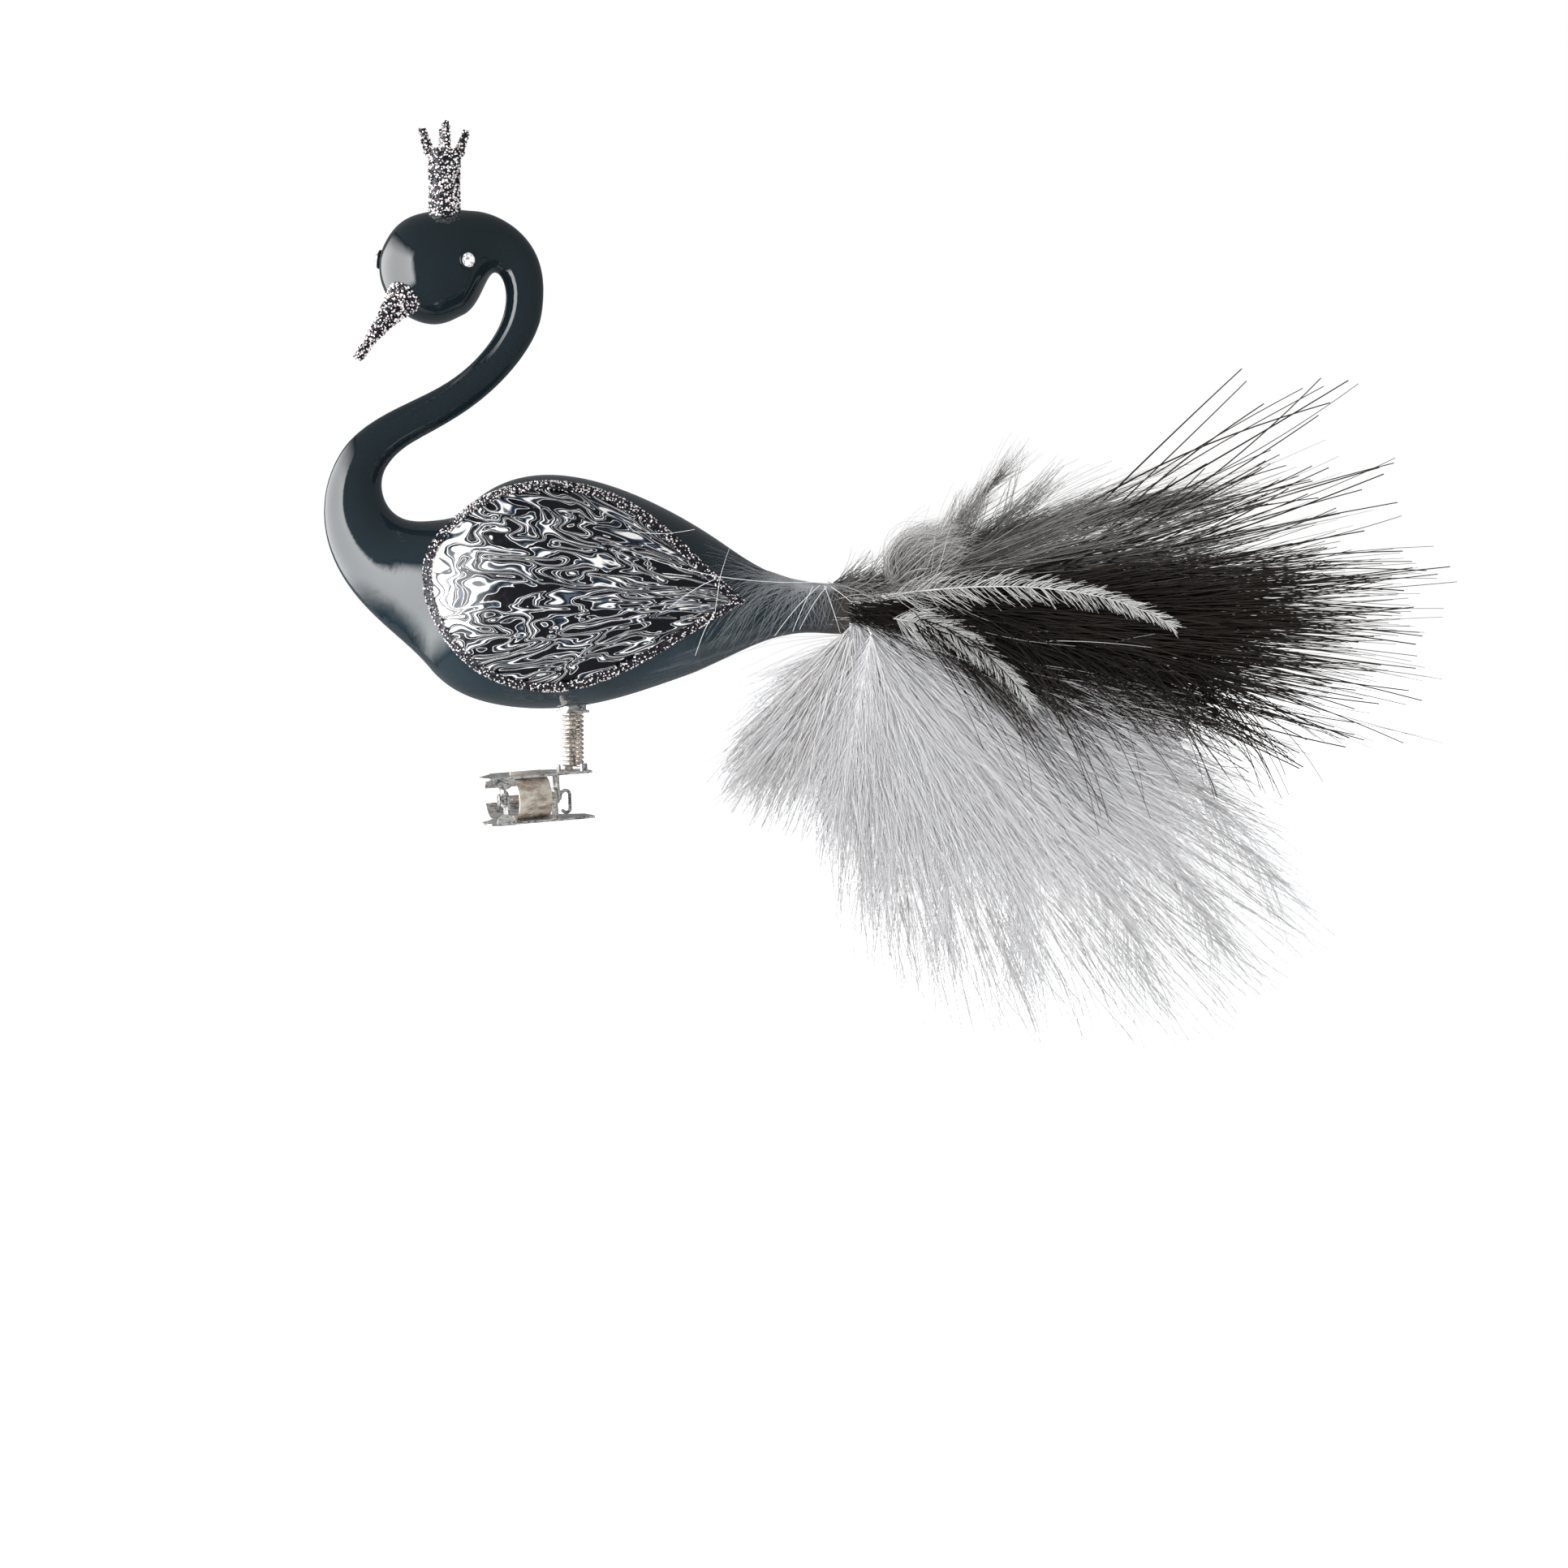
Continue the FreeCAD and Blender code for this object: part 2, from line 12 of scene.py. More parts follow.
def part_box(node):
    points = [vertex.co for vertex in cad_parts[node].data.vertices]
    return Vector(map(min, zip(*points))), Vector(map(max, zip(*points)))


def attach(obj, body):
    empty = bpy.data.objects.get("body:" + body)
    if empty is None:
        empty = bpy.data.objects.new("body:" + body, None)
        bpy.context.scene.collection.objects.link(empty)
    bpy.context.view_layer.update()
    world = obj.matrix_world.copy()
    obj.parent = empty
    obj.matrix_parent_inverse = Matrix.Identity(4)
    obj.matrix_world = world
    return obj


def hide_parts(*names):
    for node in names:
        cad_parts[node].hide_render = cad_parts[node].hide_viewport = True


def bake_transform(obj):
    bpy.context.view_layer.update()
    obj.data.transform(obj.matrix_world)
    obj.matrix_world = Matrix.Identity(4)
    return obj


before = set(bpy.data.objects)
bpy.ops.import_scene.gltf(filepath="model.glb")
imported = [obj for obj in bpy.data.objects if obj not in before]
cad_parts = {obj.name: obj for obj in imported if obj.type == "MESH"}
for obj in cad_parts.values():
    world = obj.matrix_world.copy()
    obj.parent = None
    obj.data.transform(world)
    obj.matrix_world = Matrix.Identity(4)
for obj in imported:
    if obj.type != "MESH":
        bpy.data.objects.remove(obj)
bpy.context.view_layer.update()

MM = 0.001
SIDES = 3                      # a barb is a three-sided tapering tube
STEPS_PER_TURN = 20            # of the coil's helix

# ---- places repeated from the CAD model, in millimetres and degrees ----
BIRD_Y = -4.911                # the bird's middle plane
HEAD = np.array([-17.1, BIRD_Y, 116.6])
COIL_X = 12.823
COIL_R = 2.08
WIRE_R = 0.37
COIL_PITCH = 1.0
COIL_BOTTOM = 6.6
COIL_MIDDLE = 13.0             # where the nod gives way to the sway
COIL_TOP = 22.0
CLIP_YAW = 20.0                # how the clip stands under the bird
CLIP_ROLL = -3.4
PIN_V = -10.5                  # the hinge pin, along the clip
BAND_R = 4.6                   # the band spring: outside radius, thickness,
BAND_T = 0.35
BAND_HALF = 3.75               # half its width, how far its ends stand off the pin,
BAND_END = 5.8
SLOT_ANGLE = 62.0              # and where its arc passes through the leaves
FAN_X = -16.0                  # where the planes of the feathers meet
TAIL_X = 74.0                  # the tail's mouth
TAIL_Z = 41.5
VANE_START_X = 84.0
WING_TIP = (51.0, 43.2)        # x, z
# Glass rings near the tail: centre x, centre z, radius.
TAIL_RINGS = [(28.0, 44.6, 21.5), (33.0, 44.4, 19.4), (41.5, 43.6, 15.4), (47.5, 43.0, 12.0),
              (54.0, 42.4, 8.5), (61.0, 42.0, 6.1), (67.0, 41.6, 5.4), (74.0, 41.5, 5.5)]
# Each feather: layer of the fan, root z, then x, z of the rib's middle and tip.
PLUMES = {
    "grey_plume_1": (-10, 43.0, 126.0, 50.5, 145.8, 37.4),
    "grey_plume_2": (-9, 40.6, 104.0, 37.0, 114.5, 20.5),
    "black_plume_8": (-8, 41.3, 116.0, 24.0, 132.0, -5.0),
    "white_plume_2": (-7, 40.3, 76.0, 18.0, 69.0, -11.5),
    "black_plume_1": (-6, 44.6, 138.0, 56.0, 185.0, 90.6),
    "white_plume_3": (-5, 39.2, 93.0, 8.0, 77.5, -33.0),
    "black_plume_2": (-4, 44.9, 146.0, 51.0, 193.5, 74.6),
    "white_plume_4": (-3, 39.5, 103.0, 4.0, 92.0, -46.0),
    "black_plume_3": (-2, 44.2, 150.0, 47.0, 195.5, 62.0),
    "white_plume_5": (-1, 39.4, 118.0, -2.0, 113.0, -55.5),
    "black_plume_4": (0, 43.4, 152.0, 42.0, 208.5, 47.5),
    "white_plume_6": (1, 39.3, 134.0, 2.0, 144.2, -60.5),
    "black_plume_5": (2, 42.4, 150.0, 37.0, 200.5, 31.0),
    "white_plume_7": (3, 39.7, 141.0, 12.0, 164.5, -51.5),
    "black_plume_6": (4, 41.6, 148.0, 32.0, 199.0, 20.0),
    "white_plume_8": (5, 40.0, 148.0, 22.0, 181.0, -38.5),
    "black_plume_7": (6, 40.9, 142.0, 27.0, 186.0, 12.0),
    "grey_plume_3": (7, 44.5, 122.0, 64.0, 159.7, 66.6),
    "white_plume_1": (8, 38.8, 62.5, 27.0, 49.0, -3.1),
    "grey_plume_4": (9, 43.6, 98.0, 58.0, 114.0, 78.0),
}


# ---- camera, stage and light, in metres and degrees; the window in millimetres ----
VIEW_CENTRE = Vector((0.0596, BIRD_Y * MM, 0.0027))
VIEW_WIDTH = 0.3478
VIEW_DISTANCE = 0.9
VIEW_RISE = 3.0
SENSOR = 36.0
FLOOR_Z = -0.078
WINDOW_X = -520.0
WINDOW_GLOW = 8.5


def add_camera():
    """A camera a little above the bird's left side, wide enough for the whole tail."""
    data = bpy.data.cameras.new("camera")
    data.sensor_width = SENSOR
    data.lens = SENSOR * VIEW_DISTANCE / VIEW_WIDTH
    data.clip_start = 0.01
    camera = bpy.data.objects.new("camera", data)
    bpy.context.scene.collection.objects.link(camera)
    rise = math.radians(VIEW_RISE)
    back = Vector((0, -math.cos(rise), math.sin(rise)))
    camera.location = VIEW_CENTRE + back * VIEW_DISTANCE
    camera.rotation_euler = back.to_track_quat("Z", "Y").to_euler()
    bpy.context.scene.camera = camera


def add_world():
    """A white backdrop to the camera; a dimmer, even room to everything else."""
    world = bpy.data.worlds.new("studio")
    bpy.context.scene.world = world
    world.use_nodes = True
    tree = world.node_tree
    tree.nodes.clear()
    path = node(tree, "ShaderNodeLightPath")
    soft = node(tree, "ShaderNodeBackground", {"Color": (0.97, 0.985, 1.0, 1), "Strength": 0.62})
    dark = node(tree, "ShaderNodeBackground", {"Color": (0.93, 0.97, 1.0, 1), "Strength": 0.20})
    white = node(tree, "ShaderNodeBackground", {"Color": (1, 1, 1, 1), "Strength": 1.0})
    mirror = node(tree, "ShaderNodeMixShader", {0: path.outputs["Is Glossy Ray"],
                  1: soft.outputs[0], 2: dark.outputs[0]})
    seen = node(tree, "ShaderNodeMixShader", {0: path.outputs["Is Camera Ray"],
                1: mirror.outputs[0], 2: white.outputs[0]})
    out = node(tree, "ShaderNodeOutputWorld", {0: seen.outputs[0]})
    out.is_active_output = True


def add_softbox(name, place, target, width, height, power):
    """A large rectangular light that faces a point and leaves no mirror image."""
    data = bpy.data.lights.new(name, "AREA")
    data.shape = "RECTANGLE"
    data.size = width
    data.size_y = height
    data.energy = power
    light = bpy.data.objects.new(name, data)
    bpy.context.scene.collection.objects.link(light)
    light.location = place
    away = Vector(place) - Vector(target)
    light.rotation_euler = away.to_track_quat("Z", "Y").to_euler()
    light.visible_glossy = False


def add_window():
    """A tall glowing panel ahead of the bird, brightest at its left, soft at three edges."""
    near, far, low, high = -640.0, 640.0, -380.0, 560.0
    near_fade, low_fade, high_fade, far_share = 170.0, 240.0, 300.0, 0.25
    points = np.array([[WINDOW_X, y, z] for y in (near, far) for z in (low, high)])
    panel = mesh_object("window_panel", points, np.array([[0, 1, 3, 2]]))
    panel.visible_camera = False
    made = bpy.data.materials.new("window_glow")
    made.use_nodes = True
    tree = made.node_tree
    tree.nodes.clear()
    split = node(tree, "ShaderNodeSeparateXYZ", {0: place_mm(tree)})
    glow = node(tree, "ShaderNodeMapRange", {0: split.outputs["Y"], 1: near, 2: far,
                3: WINDOW_GLOW, 4: WINDOW_GLOW * far_share})
    strength = glow.outputs[0]
    for socket, start, stop in (("Y", near, near + near_fade), ("Z", low, low + low_fade),
                                ("Z", high, high - high_fade)):
        edge = node(tree, "ShaderNodeMapRange", {0: split.outputs[socket], 1: start, 2: stop},
                    interpolation_type="SMOOTHSTEP")
        strength = math_node(tree, "MULTIPLY", strength, edge.outputs[0])
    light = node(tree, "ShaderNodeEmission", {"Strength": strength})
    out = node(tree, "ShaderNodeOutputMaterial")
    tree.links.new(light.outputs[0], out.inputs[0])
    panel.data.materials.append(made)


def add_floor():
    """A plain white floor, wide enough that no view shows its edge."""
    half = 4.0
    points = np.array([[x, y, FLOOR_Z] for y in (-half, half) for x in (-half, half)]) / MM
    floor = mesh_object("floor", points, np.array([[0, 1, 3, 2]]))
    floor.visible_glossy = False
    paper, _, shader = new_material("backdrop_paper")
    shader.inputs["Base Color"].default_value = (0.9, 0.9, 0.9, 1)
    shader.inputs["Roughness"].default_value = 0.9
    shader.inputs["Emission Color"].default_value = (1, 1, 1, 1)
    shader.inputs["Emission Strength"].default_value = 0.75
    floor.data.materials.append(paper)


# ---- mesh helpers ----
def mesh_object(name, points, faces, smooth=True):
    """A mesh object from points in millimetres and faces that all have the same size."""
    mesh = bpy.data.meshes.new(name)
    count, size = faces.shape
    mesh.vertices.add(len(points))
    mesh.vertices.foreach_set("co", (np.asarray(points) * MM).astype(np.float32).ravel())
    mesh.loops.add(count * size)
    mesh.loops.foreach_set("vertex_index", faces.astype(np.int32).ravel())
    mesh.polygons.add(count)
    mesh.polygons.foreach_set("loop_start", (np.arange(count) * size).astype(np.int32))
    mesh.polygons.foreach_set("use_smooth", np.full(count, smooth))
    mesh.update(calc_edges=True)
    obj = bpy.data.objects.new(name, mesh)
    bpy.context.scene.collection.objects.link(obj)
    return obj


def point_values(obj, name, values):
    """A named number at each vertex, for the material to read."""
    attribute = obj.data.attributes.new(name, "FLOAT", "POINT")
    attribute.data.foreach_set("value", np.asarray(values, np.float32).ravel())


def unit(vectors):
    """The same vectors with length one."""
    return vectors / np.maximum(np.linalg.norm(vectors, axis=-1, keepdims=True), 1e-9)


def tubes(name, paths, widths, tones, sides=SIDES):
    """Tapering tubes. paths is strands x steps x 3 and widths is strands x steps."""
    count, steps = widths.shape
    along = unit(np.gradient(paths, axis=1))
    side = unit(np.cross(along, np.array([0.05, 1.0, 0.02])))
    up = np.cross(along, side)
    turn = np.arange(sides) * 2 * np.pi / sides
    ring = (np.cos(turn)[:, None] * side[:, :, None, :]
            + np.sin(turn)[:, None] * up[:, :, None, :])
    points = paths[:, :, None, :] + ring * widths[:, :, None, None] / 2
    index = np.arange(count * steps * sides).reshape(count, steps, sides)
    near, far = index[:, :-1], index[:, 1:]
    faces = np.stack([near, np.roll(near, -1, 2), np.roll(far, -1, 2), far], -1)
    obj = mesh_object(name, points.reshape(-1, 3), faces.reshape(-1, 4))
    share = np.broadcast_to(np.linspace(0, 1, steps)[None, :, None], (count, steps, sides))
    point_values(obj, "along", share)
    point_values(obj, "tone", np.broadcast_to(tones[:, None, None], (count, steps, sides)))
    return obj


# ---- material helpers ----
def new_material(name):
    """A material with its node tree and its shader."""
    made = bpy.data.materials.new(name)
    made.use_nodes = True
    return made, made.node_tree, made.node_tree.nodes["Principled BSDF"]


def node(tree, kind, inputs=None, **settings):
    """A node with settings, and inputs that are either numbers or other sockets."""
    made = tree.nodes.new(kind)
    for key, value in settings.items():
        setattr(made, key, value)
    for key, value in (inputs or {}).items():
        if isinstance(value, bpy.types.NodeSocket):
            tree.links.new(value, made.inputs[key])
        else:
            made.inputs[key].default_value = value
    return made


def place_mm(tree):
    """Position on the object in millimetres, which moves with the piece."""
    coords = node(tree, "ShaderNodeTexCoord")
    scaled = node(tree, "ShaderNodeVectorMath", {0: coords.outputs["Object"], 3: 1 / MM},
                  operation="SCALE")
    return scaled.outputs[0]


def noise(tree, vector, scale, detail=3.0, roughness=0.55, distortion=0.0):
    """Noise over a millimetre position."""
    made = node(tree, "ShaderNodeTexNoise", {"Vector": vector, "Scale": scale,
                "Detail": detail, "Roughness": roughness, "Distortion": distortion})
    return made.outputs["Fac"]


def ramp(tree, factor, stops):
    """A colour ramp. stops is a list of (position, grey or colour)."""
    made = node(tree, "ShaderNodeValToRGB", {"Fac": factor})
    band = made.color_ramp
    while len(band.elements) < len(stops):
        band.elements.new(0.5)
    for element, (position, tone) in zip(band.elements, stops):
        element.position = position
        element.color = (tone, tone, tone, 1) if isinstance(tone, float) else (*tone, 1)
    return made.outputs["Color"]


def math_node(tree, operation, *values):
    """One arithmetic step."""
    made = node(tree, "ShaderNodeMath", operation=operation)
    for socket, value in zip(made.inputs, values):
        if isinstance(value, bpy.types.NodeSocket):
            tree.links.new(value, socket)
        else:
            socket.default_value = value
    return made.outputs[0]


def set_bump(tree, shader, height, strength, distance_mm):
    """Surface relief from a height."""
    made = node(tree, "ShaderNodeBump", {"Height": height, "Strength": strength,
                "Distance": distance_mm * MM})
    tree.links.new(made.outputs["Normal"], shader.inputs["Normal"])


def paint(obj, made):
    """Gives an object one material."""
    obj.data.materials.clear()
    obj.data.materials.append(made)


# ---- materials ----
def black_glass():
    """Lacquered blown glass: deep blue-green black, a little greyer aft, and greyer low down where a
    reflection of the pale floor is painted in.
    """
    made, tree, shader = new_material("black_glass")
    place = place_mm(tree)
    split = node(tree, "ShaderNodeSeparateXYZ", {0: place})
    # Painted reflection: the colour turns greyer towards the bottom, in patches, in place of the pale
    # floor mirrored in the glass.
    low = node(tree, "ShaderNodeMapRange", {0: split.outputs["Z"], 1: 75.0, 2: 18.0})
    clouds = noise(tree, place, 0.05, 4.0)
    mixed = math_node(tree, "MULTIPLY", low.outputs[0], clouds)
    colour = ramp(tree, mixed, [(0.0, (0.006, 0.011, 0.014)), (0.3, (0.010, 0.018, 0.023)),
                                (0.75, (0.026, 0.040, 0.050))])
    mouth = node(tree, "ShaderNodeMapRange", {0: split.outputs["X"], 1: 62.0, 2: 73.0})
    brown = node(tree, "ShaderNodeMix", {0: mouth.outputs[0], 6: colour,
                 7: (0.034, 0.030, 0.028, 1)}, data_type="RGBA")
    tree.links.new(brown.outputs[2], shader.inputs["Base Color"])
    gloss = ramp(tree, noise(tree, place, 0.4, 2.0), [(0.3, 0.012), (0.8, 0.03)])
    tree.links.new(gloss, shader.inputs["Roughness"])
    shader.inputs["IOR"].default_value = 1.6
    waves = noise(tree, place, 0.09, 1.5)
    set_bump(tree, shader, waves, 0.3, 0.6)
    return made


def marbled_paint():
    """Silver, white and black paint combed in swirls from the wing's front to its tip; the front is
    whiter, partly its own white paint and partly a painted highlight.
    """
    made, tree, shader = new_material("marbled_paint")
    place = place_mm(tree)
    split = node(tree, "ShaderNodeSeparateXYZ", {0: place})
    back = math_node(tree, "SUBTRACT", WING_TIP[0] + 12.0, split.outputs["X"])
    rise = math_node(tree, "SUBTRACT", split.outputs["Z"], WING_TIP[1])
    angle = math_node(tree, "ARCTAN2", rise, back)
    flow = node(tree, "ShaderNodeCombineXYZ",
                {"X": math_node(tree, "MULTIPLY", back, 0.072),
                 "Y": math_node(tree, "MULTIPLY", angle, 12.5),
                 "Z": math_node(tree, "MULTIPLY", split.outputs["Y"], 0.02)})
    push = node(tree, "ShaderNodeTexNoise", {"Vector": flow.outputs[0], "Scale": 0.9,
                "Detail": 1.5, "Roughness": 0.5})
    centred = node(tree, "ShaderNodeVectorMath", {0: push.outputs["Color"],
                   1: (0.5, 0.5, 0.5)}, operation="SUBTRACT")
    pushed = node(tree, "ShaderNodeVectorMath", {0: centred.outputs[0], 1: (2.2, 2.2, 0.6),
                  2: flow.outputs[0]}, operation="MULTIPLY_ADD")
    field = noise(tree, pushed.outputs[0], 0.85, 1.0, 0.4, 0.7)
    lines = math_node(tree, "PINGPONG", math_node(tree, "MULTIPLY", field, 16.0), 1.0)
    veins = noise(tree, pushed.outputs[0], 2.2, 1.5, 0.5, 1.2)
    # Painted highlight: the wing's front is pushed towards cream, partly its white paint and partly
    # the window's reflection painted into the colour.
    white_paint_and_highlight = node(tree, "ShaderNodeMapRange", {0: back, 1: 68.0, 2: 84.0, 3: -0.05,
                      4: 0.85})
    wander = math_node(tree, "MULTIPLY", math_node(tree, "SUBTRACT", veins, 0.5), 0.5)
    shifted = math_node(tree, "ADD", math_node(tree, "ADD", lines, wander),
                        white_paint_and_highlight.outputs[0])
    black, blue, cream = (0.003, 0.003, 0.005), (0.045, 0.062, 0.085), (0.92, 0.89, 0.86)
    colour = ramp(tree, shifted, [(0.36, black), (0.41, cream), (0.45, blue), (0.54, blue),
                                  (0.60, black), (0.74, (0.012, 0.018, 0.028)),
                                  (0.81, (0.10, 0.12, 0.15)), (0.88, cream), (0.97, cream)])
    tree.links.new(colour, shader.inputs["Base Color"])
    metal = ramp(tree, shifted, [(0.78, 0.0), (0.86, 0.3)])
    tree.links.new(metal, shader.inputs["Metallic"])
    rough = ramp(tree, noise(tree, place, 0.8), [(0.3, 0.14), (0.7, 0.3)])
    tree.links.new(rough, shader.inputs["Roughness"])
    set_bump(tree, shader, lines, 0.6, 0.25)
    return made


def glitter(name, pink):
    """Crushed glass glitter: black, silver and rosy grains by each grain's own tone."""
    made, tree, shader = new_material(name)
    tone = node(tree, "ShaderNodeAttribute", attribute_name="tone").outputs["Fac"]
    grain = noise(tree, place_mm(tree), 2.2, 2.0)
    varied = math_node(tree, "ADD", tone, math_node(tree, "MULTIPLY", grain, 0.12))
    colour = ramp(tree, varied, [(0.0, (0.006, 0.006, 0.009)), (0.44, (0.02, 0.02, 0.025)),
                                 (0.50, (0.55, 0.55, 0.57)), (0.62, (0.95, 0.94, 0.94)),
                                 (0.86, (0.95, 0.94, 0.94)), (0.96, pink)])
    tree.links.new(colour, shader.inputs["Base Color"])
    shine = ramp(tree, grain, [(0.4, 0.0), (0.7, 0.5)])
    tree.links.new(shine, shader.inputs["Metallic"])
    rough = ramp(tree, grain, [(0.3, 0.10), (0.7, 0.28)])
    tree.links.new(rough, shader.inputs["Roughness"])
    return made


def glitter_glue():
    """The dark glue bed that the grains stand in."""
    made, tree, shader = new_material("glitter_glue")
    grain = noise(tree, place_mm(tree), 1.6, 4.0, 0.7)
    colour = ramp(tree, grain, [(0.35, (0.006, 0.006, 0.009)), (0.6, (0.03, 0.03, 0.04)),
                                (0.75, (0.35, 0.33, 0.33))])
    tree.links.new(colour, shader.inputs["Base Color"])
    shader.inputs["Roughness"].default_value = 0.25
    shader.inputs["Metallic"].default_value = 0.5
    set_bump(tree, shader, grain, 0.9, 0.3)
    return made


def bright_metal(name, light, dark, rough, streak):
    """Plated sheet or wire: fine streaks along X, dull patches and small dark flecks."""
    made, tree, shader = new_material(name)
    place = place_mm(tree)
    drawn = node(tree, "ShaderNodeVectorMath", {0: place, 1: streak}, operation="MULTIPLY")
    lines = noise(tree, drawn.outputs[0], 1.0, 5.0, 0.65)
    patches = noise(tree, place, 0.35, 4.0)
    mixed = math_node(tree, "MULTIPLY", lines, math_node(tree, "ADD", patches, 0.5))
    colour = ramp(tree, mixed, [(0.36, dark), (0.54, light)])
    tree.links.new(colour, shader.inputs["Base Color"])
    shader.inputs["Metallic"].default_value = 0.75
    dull = ramp(tree, patches, [(0.35, rough), (0.75, rough + 0.2)])
    tree.links.new(dull, shader.inputs["Roughness"])
    set_bump(tree, shader, lines, 0.25, 0.05)
    return made


def feather(name, root, tip, spread):
    """Barbs that change from root to tip, each strand a little lighter or darker."""
    made, tree, shader = new_material(name)
    along = node(tree, "ShaderNodeAttribute", attribute_name="along").outputs["Fac"]
    tone = node(tree, "ShaderNodeAttribute", attribute_name="tone").outputs["Fac"]
    offset = math_node(tree, "MULTIPLY", math_node(tree, "SUBTRACT", tone, 0.5), spread)
    mixed = math_node(tree, "ADD", along, offset)
    fuzz = math_node(tree, "MULTIPLY", noise(tree, place_mm(tree), 1.3, 2.0), 0.15)
    colour = ramp(tree, math_node(tree, "ADD", mixed, fuzz), [(0.1, root), (1.0, tip)])
    tree.links.new(colour, shader.inputs["Base Color"])
    shader.inputs["Roughness"].default_value = 0.65
    shader.inputs["Specular IOR Level"].default_value = 0.25
    return made


def eye_stone():
    """Clear cut stone over silver foil: a grey foil colour with painted sparkle, white patches that
    stand in for light flashing off its facets.
    """
    made, tree, shader = new_material("eye_stone")
    painted_sparkle = noise(tree, place_mm(tree), 1.1, 2.0)
    # Painted sparkle: noise makes white patches in the stone's colour where its facets would flash.
    colour = ramp(tree, painted_sparkle, [(0.42, (0.30, 0.30, 0.33)), (0.52, (1.0, 0.99, 0.98))])
    tree.links.new(colour, shader.inputs["Base Color"])
    shader.inputs["Metallic"].default_value = 0.2
    shader.inputs["Roughness"].default_value = 0.06
    return made


def dark_binding():
    """The wound thread and glue that stops the tail tube."""
    made, tree, shader = new_material("dark_binding")
    grain = noise(tree, place_mm(tree), 1.5, 4.0)
    colour = ramp(tree, grain, [(0.3, (0.012, 0.010, 0.009)), (0.7, (0.05, 0.045, 0.04))])
    tree.links.new(colour, shader.inputs["Base Color"])
    shader.inputs["Roughness"].default_value = 0.8
    set_bump(tree, shader, grain, 0.6, 0.3)
    return made


# ---- glitter and eyes ----
def node_surface(name, count, rng):
    """Random points and normals on a CAD node's surface, even over its area."""
    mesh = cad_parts[name].data
    mesh.calc_loop_triangles()
    corners = np.zeros(len(mesh.loop_triangles) * 3, np.int32)
    mesh.loop_triangles.foreach_get("vertices", corners)
    points = np.zeros(len(mesh.vertices) * 3)
    mesh.vertices.foreach_get("co", points)
    triangle = points.reshape(-1, 3)[corners.reshape(-1, 3)] / MM
    across = np.cross(triangle[:, 1] - triangle[:, 0], triangle[:, 2] - triangle[:, 0])
    area = np.linalg.norm(across, axis=1)
    chosen = rng.choice(len(area), count, p=area / area.sum())
    u, v = rng.random(count), rng.random(count)
    over = u + v > 1
    u[over], v[over] = 1 - u[over], 1 - v[over]
    corner = triangle[chosen]
    spots = (corner[:, 0] + u[:, None] * (corner[:, 1] - corner[:, 0])
             + v[:, None] * (corner[:, 2] - corner[:, 0]))
    return spots, unit(across[chosen])


def random_turns(count, rng):
    """Random rotation matrices."""
    quat = unit(rng.normal(size=(count, 4)))
    w, x, y, z = quat.T
    rows = [1 - 2 * (y * y + z * z), 2 * (x * y - w * z), 2 * (x * z + w * y),
            2 * (x * y + w * z), 1 - 2 * (x * x + z * z), 2 * (y * z - w * x),
            2 * (x * z - w * y), 2 * (y * z + w * x), 1 - 2 * (x * x + y * y)]
    return np.stack(rows, -1).reshape(count, 3, 3)


OCTAHEDRON = np.array([[1, 0, 0], [-1, 0, 0], [0, 1, 0], [0, -1, 0], [0, 0, 1], [0, 0, -1.0]])
OCTAHEDRON_FACES = np.array([[0, 2, 4], [2, 1, 4], [1, 3, 4], [3, 0, 4],
                             [2, 0, 5], [1, 2, 5], [3, 1, 5], [0, 3, 5]])


def grains(name, host, count, size, seed, made):
    """Glitter grains stuck over a CAD node."""
    rng = np.random.default_rng(seed)
    spots, normals = node_surface(host, count, rng)
    radius = size * rng.uniform(0.55, 1.0, count)
    shape = OCTAHEDRON[None] * rng.uniform(0.7, 1.15, (count, 6, 1))
    turned = np.einsum("nij,nkj->nki", random_turns(count, rng), shape)
    points = (spots + normals * radius[:, None] * 0.35)[:, None, :] + turned * radius[:, None, None]
    faces = (OCTAHEDRON_FACES[None] + np.arange(count)[:, None, None] * 6).reshape(-1, 3)
    obj = mesh_object(name, points.reshape(-1, 3), faces, smooth=False)
    point_values(obj, "tone", np.repeat(rng.random(count), 6))
    paint(obj, made)
    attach(obj, "bird")


def cut_stone(name, host, made, rim_made):
    """A round faceted stone in a dark cup, in place of a CAD eye."""
    low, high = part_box(host)
    centre = np.array((low + high) / 2) / MM
    out = unit(centre - HEAD)
    side = unit(np.cross(out, np.array([0, 0, 1.0])))
    up = np.cross(side, out)
    facets = 10
    rings = []
    for radius, height, shift in ((1.6, -0.3, 0.0), (1.6, 0.2, 0.5), (1.15, 0.65, 0.0),
                                  (0.7, 0.85, 0.5)):
        turn = (np.arange(facets) + shift) * 2 * np.pi / facets
        rings.append(centre + out * height + radius * (np.cos(turn)[:, None] * side
                                                       + np.sin(turn)[:, None] * up))
    points = np.vstack(rings + [centre + out * 0.9])
    faces = []
    for ring in range(3):
        near, far = ring * facets, (ring + 1) * facets
        for step in range(facets):
            after = (step + 1) % facets
            faces.append((near + step, near + after, far + step))
            faces.append((near + after, far + after, far + step))
    last = 3 * facets
    for step in range(facets):
        faces.append((last + step, last + (step + 1) % facets, 4 * facets))
    stone = mesh_object(name, points, np.array(faces), smooth=False)
    paint(stone, made)
    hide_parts(host)
    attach(stone, "bird")
    steps = 40
    turn = np.linspace(0, 2 * np.pi, steps)
    loop = centre - out * 0.12 + 1.85 * (np.cos(turn)[:, None] * side + np.sin(turn)[:, None] * up)
    rim = tubes(name + "_cup", loop[None], np.full((1, steps), 0.55), np.zeros(1), sides=8)
    paint(rim, rim_made)
    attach(rim, "bird")


